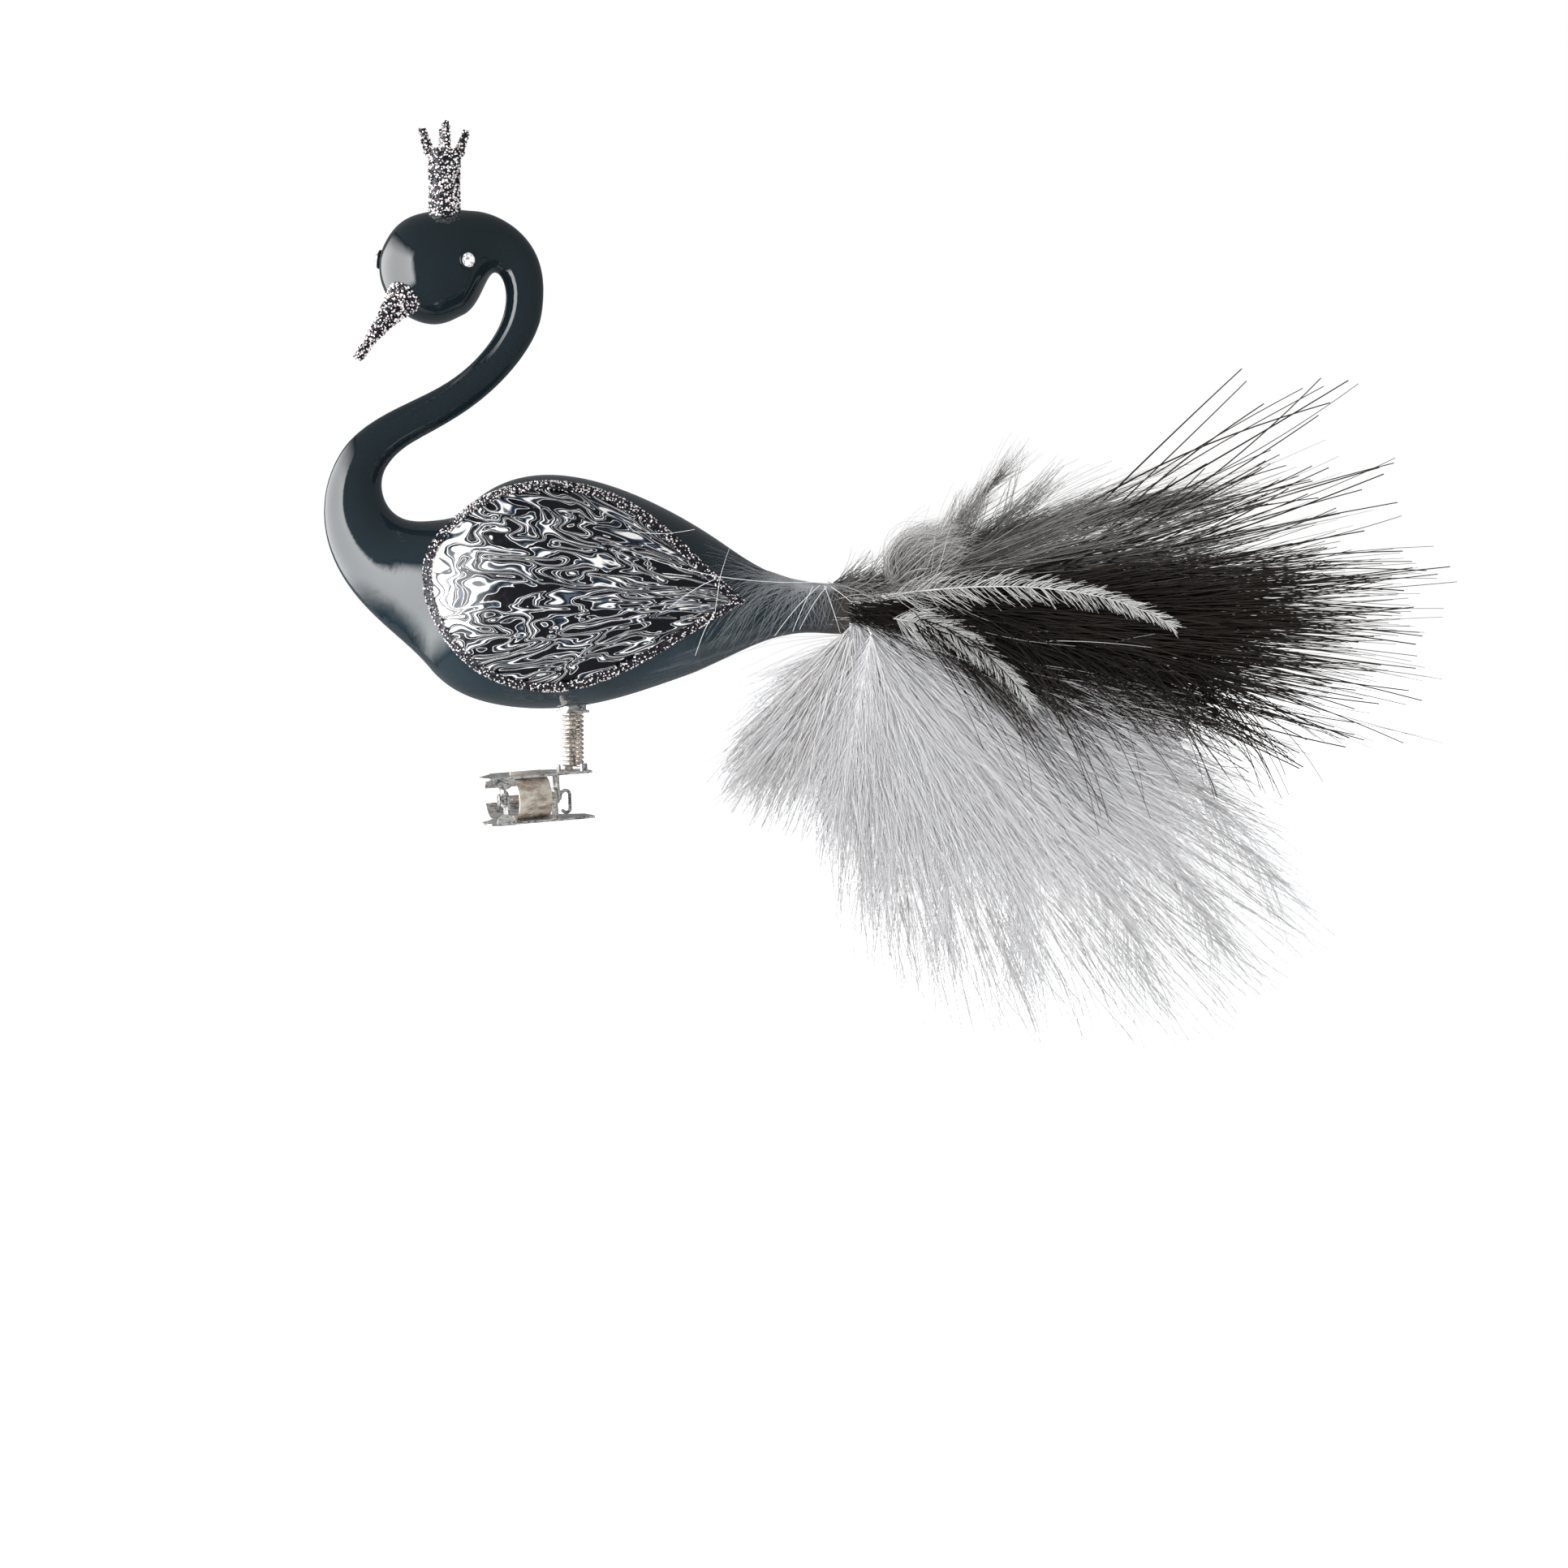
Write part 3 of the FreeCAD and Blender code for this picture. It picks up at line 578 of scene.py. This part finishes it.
# ---- springs ----
def coil_half(name, low, high, made):
    """Part of the belly coil, from one height to another."""
    steps = int((high - low) / COIL_PITCH * STEPS_PER_TURN) + 1
    z = np.linspace(low, high, steps)
    turn = (z - COIL_BOTTOM) / COIL_PITCH * 2 * np.pi
    path = np.stack([COIL_X + COIL_R * np.cos(turn), BIRD_Y + COIL_R * np.sin(turn), z], -1)
    coil = tubes(name, path[None], np.full((1, steps), WIRE_R * 2), np.zeros(1), sides=10)
    paint(coil, made)
    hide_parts("coil_spring")
    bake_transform(coil)


def clip_matrix():
    """Clip coordinates to the row frame."""
    yaw = Matrix.Rotation(math.radians(CLIP_YAW), 3, "Z")
    roll = Matrix.Rotation(math.radians(CLIP_ROLL), 3, "Y")
    return np.array(yaw @ roll)


def band(made):
    """The wide C-shaped strip round the hinge pin that shuts the jaws."""
    angle = math.radians(SLOT_ANGLE)
    middle = BAND_R - BAND_T / 2
    end_v = PIN_V + middle * math.cos(angle)
    turn = np.linspace(angle, 2 * math.pi - angle, 60)
    arc = np.stack([PIN_V + middle * np.cos(turn), middle * np.sin(turn)], -1)
    line = np.vstack([[[end_v, BAND_END], [end_v, (BAND_END + arc[0, 1]) / 2]], arc,
                      [[end_v, (-BAND_END + arc[-1, 1]) / 2], [end_v, -BAND_END]]])
    along = unit(np.gradient(line, axis=0))
    across = np.stack([-along[:, 1], along[:, 0]], -1) * BAND_T / 2
    edge = 0.08
    section = [(-BAND_HALF + edge, 1), (BAND_HALF - edge, 1), (BAND_HALF, 0.5),
               (BAND_HALF, -0.5), (BAND_HALF - edge, -1), (-BAND_HALF + edge, -1),
               (-BAND_HALF, -0.5), (-BAND_HALF, 0.5)]
    rings = []
    for u, share in section:
        vw = line + across * share
        rings.append(np.column_stack([np.full(len(line), u), vw]))
    points = np.stack(rings, 1) @ clip_matrix().T
    sides, steps = len(section), len(line)
    index = np.arange(steps * sides).reshape(steps, sides)
    near, far = index[:-1], index[1:]
    faces = np.stack([near, np.roll(near, -1, 1), np.roll(far, -1, 1), far], -1)
    strip = mesh_object("band_strip", points.reshape(-1, 3), faces.reshape(-1, 4))
    paint(strip, made)
    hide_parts("band_spring")
    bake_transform(strip)


# ---- feathers ----
FEATHERS = {
    # barbs, last start, length range, share of the rib they may reach, start and end angle,
    # wobble, depth, root and tip width
    "core": (560, 0.40, (24.0, 86.0), 0.98, (2.0, 17.0), (-3.0, 6.0), 4.0, 2.2, 0.34, 0.11),
    "black": (200, 0.36, (22.0, 92.0), 1.0, (2.0, 18.0), (-3.0, 8.0), 5.0, 2.4, 0.34, 0.11),
    "smoke": (190, 0.34, (22.0, 76.0), 0.90, (3.0, 20.0), (-2.0, 9.0), 5.0, 2.4, 0.30, 0.10),
    "lone": (90, 0.28, (22.0, 52.0), 0.58, (3.0, 16.0), (-2.0, 9.0), 5.0, 2.0, 0.30, 0.10),
    "sickle": (50, 0.30, (18.0, 50.0), 1.0, (3.0, 24.0), (-4.0, 12.0), 6.0, 1.2, 0.30, 0.10),
    "white": (560, 0.84, (22.0, 58.0), 1.04, (7.0, 34.0), (-2.0, 24.0), 9.0, 2.4, 0.16, 0.07),
    "comb": (380, 0.98, (4.6, 7.8), 1.2, (34.0, 58.0), (16.0, 36.0), 8.0, 0.5, 0.20, 0.07),
    "veil": (760, 0.80, (16.0, 52.0), 1.0, (3.0, 22.0), (-3.0, 9.0), 5.0, 3.0, 0.20, 0.07),
    "tuft": (260, 0.80, (8.0, 22.0), 1.02, (6.0, 26.0), (0.0, 16.0), 10.0, 2.4, 0.18, 0.05),
}
# The kind of each feather, where it isn't the first word of its name.
KINDS = {"grey_plume_1": "comb", "grey_plume_2": "comb", "grey_plume_3": "veil",
         "grey_plume_4": "tuft", "black_plume_1": "lone", "black_plume_2": "smoke",
         "black_plume_3": "smoke", "black_plume_4": "core", "black_plume_5": "core",
         "black_plume_8": "sickle"}
# Where the white down spreads out from: x, z.
DOWN_ROOT = np.array([75.5, 39.0])
# How far the white down reaches from there: direction in degrees, distance.
DOWN_REACH = [(228, 40), (234, 49), (254, 47), (263, 50), (269, 60), (279, 68), (292, 78),
              (300, 90), (308, 102), (318, 108), (328, 106), (337, 96), (346, 84)]
# How far its last loose wisps reach, from the same point.
WISP_REACH = [(226, 44), (234, 51), (254, 50), (263, 54), (269, 70), (272, 78), (280, 86),
              (284, 96), (292, 98), (300, 108), (304, 117), (314, 124), (324, 128), (338, 96),
              (346, 80)]
# Where the dark locks spread out from: x, z.
LOCK_ROOT = np.array([92.0, 42.0])
# How far the dark locks reach from this point: direction in degrees, distance.
LOCK_REACH = [(-38, 44), (-30, 64), (-22, 82), (-14, 96), (-6, 104), (2, 104), (8, 94), (13, 76)]
# Tips of the longest dark hairs: x, z.
LONG_TIPS = [(185.0, 91.0), (193.5, 75.0), (194.6, 64.5), (206.5, 47.7), (199.0, 53.0),
             (201.2, 37.4), (199.6, 32.4), (200.3, 22.8), (198.0, 15.8), (187.7, 12.0),
             (177.3, 12.4), (182.0, 62.0), (190.0, 44.0), (186.0, 28.0), (177.0, 71.5),
             (172.0, 66.0)]
# Little feather ends on top: tip x, tip z, foot x, spread, number of hairs.
TOP_TIPS = [(99.5, 68.5, 96.0, 2.2, 26), (105.8, 70.0, 97.0, 2.2, 60),
            (113.0, 76.5, 104.0, 1.2, 14), (122.0, 72.5, 100.0, 2.6, 90),
            (134.0, 68.0, 104.0, 3.0, 70)]
# Pale hairs over the glass: start x, z, end x, z, sag.
STRAY_HAIRS = [
    (67.5, 46.8, 57.5, 35.6, 0.8), (68.5, 46.6, 72.0, 36.2, 0.3), (70.0, 46.4, 80.5, 36.0, 1.0),
    (45.7, 48.6, 67.0, 47.4, -0.5), (45.7, 48.6, 47.6, 54.8, 0.2), (45.7, 48.6, 44.6, 41.0, 0.2),
    (44.6, 41.0, 40.2, 31.4, 1.0), (45.7, 48.6, 35.0, 42.2, 0.6), (45.7, 48.6, 22.0, 56.0, -0.8),
    (40.0, 59.0, 26.0, 58.6, -0.8), (66.0, 46.6, 61.5, 36.6, 0.4), (69.0, 46.5, 63.0, 37.0, 0.8),
]


def fanned(x, z, layer, lift=0.0):
    """Points on a feather's plane: the planes open like a fan towards the tail's end."""
    angle = math.atan2(layer, VANE_START_X - FAN_X)
    out = x - FAN_X
    return np.stack([FAN_X + out * math.cos(angle) - lift * math.sin(angle),
                     BIRD_Y + out * math.sin(angle) + lift * math.cos(angle), z], -1)


def strands(name, paths, widths, tones, made):
    """A bundle of strands that rides on the bird."""
    bundle = tubes(name, paths, widths, tones)
    paint(bundle, made)
    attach(bundle, "bird")


def rib_line(name, share):
    """x, z and direction angle along a feather's curved rib."""
    _, root_z, middle_x, middle_z, tip_x, tip_z = PLUMES[name]
    start = np.array([VANE_START_X, TAIL_Z + 2.2 * (root_z - TAIL_Z)])
    if tip_x < VANE_START_X:
        start = np.array([TAIL_X + 5.0, TAIL_Z - 5.5])
    middle, tip = np.array([middle_x, middle_z]), np.array([tip_x, tip_z])
    share = np.asarray(share)[:, None]
    place = (1 - share) ** 2 * start + 2 * share * (1 - share) * middle + share ** 2 * tip
    slope = (1 - share) * (middle - start) + share * (tip - middle)
    return place, np.arctan2(slope[:, 1], slope[:, 0])


def grow(place, heading, length, turn, wobble, steps, rng):
    """Curved strands in a plane: heading goes from its start by turn, with soft waves."""
    count = len(length)
    share = np.linspace(0, 1, steps)[None, :]
    phase = rng.uniform(0, 2 * np.pi, (count, 1))
    waves = wobble[:, None] * np.sin(share * rng.uniform(2.5, 6.5, (count, 1)) + phase)
    angle = heading[:, None] + turn[:, None] * share ** 0.7 + waves - wobble[:, None] * np.sin(phase)
    step = length[:, None] / (steps - 1)
    x = place[:, :1] + np.cumsum(np.cos(angle) * step, 1) - np.cos(angle[:, :1]) * step
    z = place[:, 1:] + np.cumsum(np.sin(angle) * step, 1) - np.sin(angle[:, :1]) * step
    return x, z, share


def plume(name, number, barb_made, rachis_made):
    """One feather: a tapering rachis with barbs on both sides."""
    rng = np.random.default_rng(100 + number)
    kind = KINDS.get(name, name.split("_")[0])
    (count, last, lengths, reach, begins, ends, wobble, depth,
     root_width, tip_width) = FEATHERS[kind]
    layer = PLUMES[name][0]
    line, _ = rib_line(name, np.linspace(0, 1, 24))
    rib_length = np.linalg.norm(np.diff(line, axis=0), axis=1).sum()
    share = np.sort(last * rng.random(count))
    place, heading = rib_line(name, share)
    side = rng.choice([-1.0, 1.0], count)
    first = np.radians(rng.uniform(*begins, count)) * (1.1 - 0.5 * share)
    final = np.radians(rng.uniform(*ends, count))
    _, far_heading = rib_line(name, np.minimum(share + 0.35, 1.0))
    follow = (far_heading - heading) * 0.8
    room = np.maximum(reach - share, 0.0) * rib_length + lengths[0] * 0.25
    long = lengths[0] + (lengths[1] - lengths[0]) * rng.random(count) ** 2.0
    length = np.minimum(long, room * rng.uniform(0.42, 1.08, count))
    if kind == "comb":
        length = rng.uniform(*lengths, count) * (1.1 - 0.7 * share)
    waver = np.radians(wobble) * rng.uniform(0.2, 1.0, count)
    x, z, along = grow(place, heading + side * first, length, side * (final - first) + follow,
                       waver, 11, rng)
    lift = rng.normal(0, 0.35, (count, 1)) * depth * along + rng.normal(0, 0.25, (count, 1))
    paths = fanned(x, z, layer, lift)
    widths = (root_width + (tip_width - root_width) * along ** 0.8) * rng.uniform(
        0.7, 1.2, (count, 1))
    barbs = tubes(name + "_barbs", paths, widths, rng.random(count))
    paint(barbs, barb_made)
    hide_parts(name)
    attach(barbs, "bird")
    quill = kind != "comb"
    if quill:
        root = np.array([[TAIL_X - 2.0, PLUMES[name][1]], [TAIL_X + 3.0, PLUMES[name][1]]])
        line = np.vstack([root, line])
    path = fanned(line[:, 0], line[:, 1], layer)
    if quill:
        path[:2, 1] = BIRD_Y + layer * np.array([0.37, 0.40])
    width = np.linspace(0.42, 0.13, len(line))
    rachis = tubes(name + "_rachis", path[None], width[None], np.full(1, 0.5), sides=6)
    paint(rachis, rachis_made)
    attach(rachis, "bird")


def down_wisps(name, seed, count, made):
    """Loose single strands round the lower edge of the white down."""
    rng = np.random.default_rng(seed)
    reach = np.array(WISP_REACH, float)
    bearing = rng.uniform(reach[0, 0], reach[-1, 0], count)
    limit = np.interp(bearing, reach[:, 0], reach[:, 1]) * rng.uniform(0.80, 1.02, count)
    length = rng.uniform(18.0, 52.0, count)
    start = np.maximum(limit - length, 4.0)
    angle = np.radians(bearing)
    place = DOWN_ROOT + np.stack([start * np.cos(angle), start * np.sin(angle)], -1)
    swing = np.radians(rng.normal(4, 12, count))
    x, z, along = grow(place, angle + swing, limit - start, -1.5 * swing,
                       np.radians(rng.uniform(1, 7, count)), 11, rng)
    y = BIRD_Y + rng.normal(0, 4.0, (count, 1)) + rng.normal(0, 1.5, (count, 1)) * along
    widths = (0.30 - 0.13 * along) * rng.uniform(0.7, 1.15, (count, 1))
    strands(name, np.stack([x, y, z], -1), widths, rng.random(count), made)


def under_down(name, seed, count, lean, made):
    """The cloud of white down that hangs under the tail and fills in between the ribs."""
    rng = np.random.default_rng(seed)
    reach = np.array(DOWN_REACH, float)
    fine = np.linspace(reach[0, 0], reach[-1, 0], 400)
    area = np.interp(fine, reach[:, 0], reach[:, 1]) ** 1.7 * np.where(fine > 318, 2.2, 1.0)
    bearing = rng.choice(fine, count, p=area / area.sum()) + rng.uniform(-0.2, 0.2, count)
    limit = np.interp(bearing, reach[:, 0], reach[:, 1])
    start = limit * rng.random(count) ** 0.8 * 0.66
    length = np.minimum(rng.uniform(16.0, 44.0, count), limit * rng.uniform(0.72, 0.97, count) - start)
    length = np.maximum(length, 5.0)
    angle = np.radians(bearing)
    place = DOWN_ROOT + np.stack([start * np.cos(angle), start * np.sin(angle)], -1)
    swing = np.radians(rng.normal(0, 16, count))
    turn = -swing * 0.9 + np.radians(rng.normal(0, 8, count))
    x, z, along = grow(place, angle + swing, length, turn,
                       np.radians(rng.uniform(1, 9, count)), 9, rng)
    depth = (x - FAN_X) / 100.0
    y = BIRD_Y + lean * depth + rng.normal(0, 1.5, (count, 1)) * (0.4 + along)
    widths = (0.17 - 0.11 * along) * rng.uniform(0.6, 1.2, (count, 1))
    strands(name, np.stack([x, y, z], -1), widths, rng.random(count), made)


def root_fuzz(name, seed, count, area, headings, lengths, lean, made):
    """Soft short barbs round the tail's mouth. area is low x, high x, low z, high z."""
    rng = np.random.default_rng(seed)
    place = np.stack([rng.uniform(area[0], area[1], count),
                      rng.uniform(area[2], area[3], count)], -1)
    heading = np.radians(rng.uniform(*headings, count))
    turn = np.radians(rng.normal(-6, 14, count))
    x, z, along = grow(place, heading, rng.uniform(*lengths, count), turn,
                       np.radians(rng.uniform(2, 14, count)), 8, rng)
    y = BIRD_Y + lean + rng.normal(0, 1.3, (count, 1)) + rng.normal(0, 1.5, (count, 1)) * along
    widths = (0.20 - 0.14 * along) * rng.uniform(0.7, 1.2, (count, 1))
    strands(name, np.stack([x, y, z], -1), widths, rng.random(count), made)


def hairs_between(name, seed, start, stop, bow, depth, width, made):
    """Hairs from start to stop (x, z), bowed sideways by some degrees, each in its own plane."""
    rng = np.random.default_rng(seed)
    count = len(start)
    span = stop - start
    bend = np.radians(rng.uniform(*bow, count))
    length = np.linalg.norm(span, axis=1) * (1 + bend ** 2 / 6)
    x, z, along = grow(start, np.arctan2(span[:, 1], span[:, 0]) - bend, length, 2 * bend,
                       np.radians(rng.uniform(0, 3, count)), 14, rng)
    y = BIRD_Y + rng.uniform(*depth, (count, 1)) + rng.normal(0, 0.8, (count, 1)) * along
    widths = (width[0] + (width[1] - width[0]) * along) * rng.uniform(0.8, 1.15, (count, 1))
    strands(name, np.stack([x, y, z], -1), widths, rng.random(count), made)


def small_tips(made):
    """Little feather ends that stand up from the top of the tail."""
    rng = np.random.default_rng(21)
    starts, stops = [], []
    for tip_x, tip_z, base_x, spread, number in TOP_TIPS:
        starts.append(np.stack([base_x + rng.normal(0, spread, number),
                                rng.uniform(50.0, 58.0, number)], -1))
        stops.append(np.array([tip_x, tip_z]) + rng.normal(0, spread * 0.45, (number, 2)))
    start, stop = np.vstack(starts), np.vstack(stops)
    stop = start + (stop - start) * rng.uniform(0.6, 1.0, (len(start), 1))
    hairs_between("tail_top_tips", 22, start, stop, (-4, 14), (-4.0, 3.0), (0.20, 0.07), made)


def long_hairs(made):
    """The longest dark hairs, past the tail's fan: one to each tip, and shorter ones by it."""
    rng = np.random.default_rng(51)
    each, foot_z = 8, 42.0
    stop = np.repeat(np.array(LONG_TIPS), each, axis=0)
    follower = (np.arange(len(stop)) % each > 0)[:, None]
    stop = stop - follower * rng.uniform(0, 1, (len(stop), 1)) * np.array([30.0, 0.0])
    stop[:, 1:] += follower * rng.normal(0, 3.4, (len(stop), 1))
    start = np.stack([rng.uniform(104, 132, len(stop)), foot_z + (stop[:, 1] - foot_z) * 0.28], -1)
    hairs_between("tail_long_hairs", 52, start, stop, (-9, 9), (-7.0, 5.0), (0.54, 0.30), made)


def dark_locks(made):
    """Dark hairs in locks: those of one lock draw together to a point."""
    rng = np.random.default_rng(71)
    locks, hairs = 150, 14
    reach = np.array(LOCK_REACH, float)
    bearing = rng.uniform(reach[0, 0], reach[-1, 0], locks)
    limit = np.interp(bearing, reach[:, 0], reach[:, 1]) * (1 - 0.62 * rng.random(locks))
    angle = np.radians(bearing)
    way = np.stack([np.cos(angle), np.sin(angle)], -1)
    tip = LOCK_ROOT + way * limit[:, None]
    foot = LOCK_ROOT + way * limit[:, None] * rng.uniform(0.02, 0.42, (locks, 1))
    tip, foot = np.repeat(tip, hairs, axis=0), np.repeat(foot, hairs, axis=0)
    across = np.repeat(np.stack([-way[:, 1], way[:, 0]], -1), hairs, axis=0)
    total = locks * hairs
    start = foot + across * rng.normal(0, 2.2, (total, 1)) + rng.normal(0, 1.2, (total, 2))
    stop = tip + across * rng.normal(0, 0.5, (total, 1))
    stop = start + (stop - start) * (1 - 0.45 * rng.random((total, 1)) ** 2)
    hairs_between("tail_dark_locks", 72, start, stop, (-7, 11), (-10.0, 3.0), (0.38, 0.17), made)


def falling_hairs(made):
    """Dark strands that leave the underside of the dark feathers and curve down."""
    rng = np.random.default_rng(61)
    count = 190
    share = rng.random(count)
    start = np.stack([88.0 + 66.0 * share, 38.0 - 12.0 * share + rng.normal(0, 2.0, count)], -1)
    slope = np.radians(rng.uniform(-60, -20, count))
    length = rng.uniform(16.0, 48.0, count) * (1.1 - 0.4 * share)
    stop = start + length[:, None] * np.stack([np.cos(slope), np.sin(slope)], -1)
    hairs_between("tail_falling_hairs", 62, start, stop, (-24, -6), (-12.5, -7.5), (0.36, 0.17),
                  made)


def stray_hairs(made):
    """Single pale hairs across the glass tail and the wing's tip, on the near side."""
    ends = np.array(STRAY_HAIRS)
    rings = np.array(TAIL_RINGS)
    share = np.linspace(0, 1, 14)[None, :]
    x = ends[:, :1] + (ends[:, 2:3] - ends[:, :1]) * share
    z = ends[:, 1:2] + (ends[:, 3:4] - ends[:, 1:2]) * share + ends[:, 4:5] * np.sin(np.pi * share)
    reach = np.interp(x, rings[:, 0], rings[:, 2]) + 1.0
    off = np.clip((z - np.interp(x, rings[:, 0], rings[:, 1])) / reach, -0.98, 0.98)
    y = BIRD_Y - reach * np.sqrt(1 - off ** 2)
    widths = np.broadcast_to(0.17 - 0.07 * share, x.shape)
    strands("stray_hairs", np.stack([x, y, z], -1), widths, np.full(len(ends), 0.5), made)


def curled_tuft(made):
    """The fluffy tuft that curls forwards and over, above the tail's mouth."""
    rng = np.random.default_rng(7)
    count, steps = 1500, 11
    place = np.stack([rng.uniform(82.5, 91.5, count), rng.uniform(46.0, 50.0, count)], -1)
    lean = rng.random(count)
    heading = np.radians(70 + 85 * lean)
    turn = np.radians(-50 - 120 * lean + rng.normal(0, 12, count))
    length = rng.uniform(7.0, 14.0, count) + 6.0 * lean
    x, z, along = grow(place, heading, length, turn, np.radians(rng.uniform(1, 9, count)), steps, rng)
    y = rng.normal(0, 2.0, (count, 1)) + rng.normal(0, 1.2, (count, 1)) * along
    paths = np.stack([x, BIRD_Y - 2.0 + y, z], -1)
    widths = (0.16 - 0.11 * along) * rng.uniform(0.7, 1.2, (count, 1))
    strands("tail_root_tuft", paths, widths, rng.random(count), made)


def tail_down(name, side, seed, made):
    """Fine down lying over the glass tail, fanned out from the top of its mouth."""
    rng = np.random.default_rng(seed)
    rings = np.array(TAIL_RINGS)
    count, steps = 330, 10
    share = np.linspace(0, 1, steps)[None, :]
    first_x, last_x = rng.uniform(60, 75, (count, 1)), rng.uniform(40, 70, (count, 1))
    first_a = np.radians(rng.uniform(50, 85, (count, 1)))
    last_a = np.radians(rng.uniform(-75, 60, (count, 1)))
    x = first_x + (last_x - first_x) * share + rng.normal(0, 0.5, (count, 1)) * np.sin(3 * share)
    angle = first_a + (last_a - first_a) * share ** 1.5
    radius = np.interp(x, rings[:, 0], rings[:, 2]) + 0.18
    middle = np.interp(x, rings[:, 0], rings[:, 1])
    paths = np.stack([x, BIRD_Y + side * radius * np.cos(angle), middle + radius * np.sin(angle)], -1)
    widths = rng.uniform(0.03, 0.085, (count, 1)) * (1.1 - 0.7 * share)
    strands(name, paths, widths, rng.random(count), made)


# ---- build ----
bpy.context.scene.view_settings.view_transform = "Standard"
add_camera()
add_world()
add_floor()
add_window()
add_softbox("front_fill", (0.25, -1.3, 0.5), (0.06, 0.0, 0.02), 0.8, 0.5, 7.0)

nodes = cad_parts
tin = bright_metal("tin", (0.80, 0.78, 0.76), (0.10, 0.10, 0.105), 0.2, (0.3, 3.0, 3.0))
strip = bright_metal("spring_strip", (1.0, 0.92, 0.80), (0.50, 0.40, 0.30), 0.25,
                     (0.15, 0.6, 0.6))
wire = bright_metal("coil_wire", (0.90, 0.82, 0.74), (0.20, 0.175, 0.155), 0.15, (2.0, 2.0, 0.5))
glass = black_glass()
marble = marbled_paint()
glue = glitter_glue()
sparkle = glitter("glitter", (0.90, 0.72, 0.70))
stone = eye_stone()
binding = dark_binding()
black_barbs = feather("black_feather", (0.008, 0.006, 0.005), (0.034, 0.027, 0.023), 0.6)
black_ribs = feather("black_rachis", (0.02, 0.016, 0.014), (0.03, 0.026, 0.023), 0.2)
smoke_barbs = feather("smoke_feather", (0.065, 0.062, 0.06), (0.23, 0.225, 0.22), 0.9)
wisp_barbs = feather("down_wisp", (0.68, 0.67, 0.66), (0.40, 0.395, 0.39), 0.6)
tuft_barbs = feather("tuft_feather", (0.16, 0.155, 0.15), (0.50, 0.49, 0.48), 0.8)
down_barbs = feather("tail_down", (0.42, 0.43, 0.44), (0.30, 0.32, 0.34), 0.5)
grey_barbs = feather("grey_feather", (0.12, 0.115, 0.11), (0.34, 0.33, 0.325), 0.9)
pale_barbs = feather("pale_grey_feather", (0.50, 0.50, 0.49), (0.72, 0.72, 0.71), 0.5)
white_barbs = feather("white_feather", (0.75, 0.745, 0.76), (0.72, 0.715, 0.73), 0.4)
white_ribs = feather("white_rachis", (0.95, 0.95, 0.95), (0.92, 0.92, 0.92), 0.1)

for name in ("clip_upper_leaf", "clip_lower_leaf", "hinge_pin", "belly_cap"):
    paint(nodes[name], tin)
paint(nodes["glass_body"], glass)
paint(nodes["tail_plug"], binding)
for side_name in ("left", "right"):
    paint(nodes["wing_" + side_name], marble)
    paint(nodes["wing_trim_" + side_name], glue)
for name in ("crown", "beak"):
    paint(nodes[name], glue)

grains("wing_glitter_left", "wing_trim_left", 4200, 0.30, 1, sparkle)
grains("wing_glitter_right", "wing_trim_right", 4200, 0.30, 2, sparkle)
grains("crown_glitter", "crown", 3200, 0.36, 3, sparkle)
grains("beak_glitter", "beak", 1500, 0.36, 4, sparkle)
cut_stone("eye_stone_left", "eye_left", stone, glass)
cut_stone("eye_stone_right", "eye_right", stone, glass)

coil_half("coil_lower", COIL_BOTTOM, COIL_MIDDLE, wire)
coil_half("coil_upper", COIL_MIDDLE, COIL_TOP, wire)
band(strip)

for number, name in enumerate(PLUMES):
    if name in ("grey_plume_1", "grey_plume_2"):
        plume(name, number, pale_barbs, pale_barbs)
    elif name.startswith("grey"):
        plume(name, number, grey_barbs, grey_barbs)
    elif name in ("black_plume_1", "black_plume_2", "black_plume_3"):
        plume(name, number, smoke_barbs, black_ribs)
    elif name.startswith("black"):
        plume(name, number, black_barbs, black_ribs)
    else:
        plume(name, number, white_barbs, white_ribs)
under_down("under_down_near", 31, 3600, -5.0, white_barbs)
under_down("under_down_far", 32, 3600, 5.0, white_barbs)
down_wisps("down_wisps", 33, 800, wisp_barbs)
root_fuzz("dark_root_fuzz", 41, 900, (73.5, 94.0, 38.6, 43.2), (-28, 6), (7.0, 34.0), -6.0,
          black_barbs)
root_fuzz("mouth_fuzz", 42, 260, (69.0, 80.0, 38.0, 47.5), (-40, 20), (4.0, 11.0), -3.5,
          tuft_barbs)
root_fuzz("pale_burst", 43, 200, (82.0, 92.0, 44.0, 48.0), (-25, 55), (6.0, 16.0), -8.0,
          tuft_barbs)
root_fuzz("top_root_fuzz", 44, 520, (70.0, 86.0, 45.0, 48.0), (0, 50), (4.0, 11.0), 0.0,
          smoke_barbs)
small_tips(smoke_barbs)
long_hairs(black_barbs)
dark_locks(black_barbs)
falling_hairs(black_barbs)
stray_hairs(white_ribs)
curled_tuft(tuft_barbs)
tail_down("tail_down_left", -1, 11, down_barbs)
tail_down("tail_down_right", 1, 12, down_barbs)
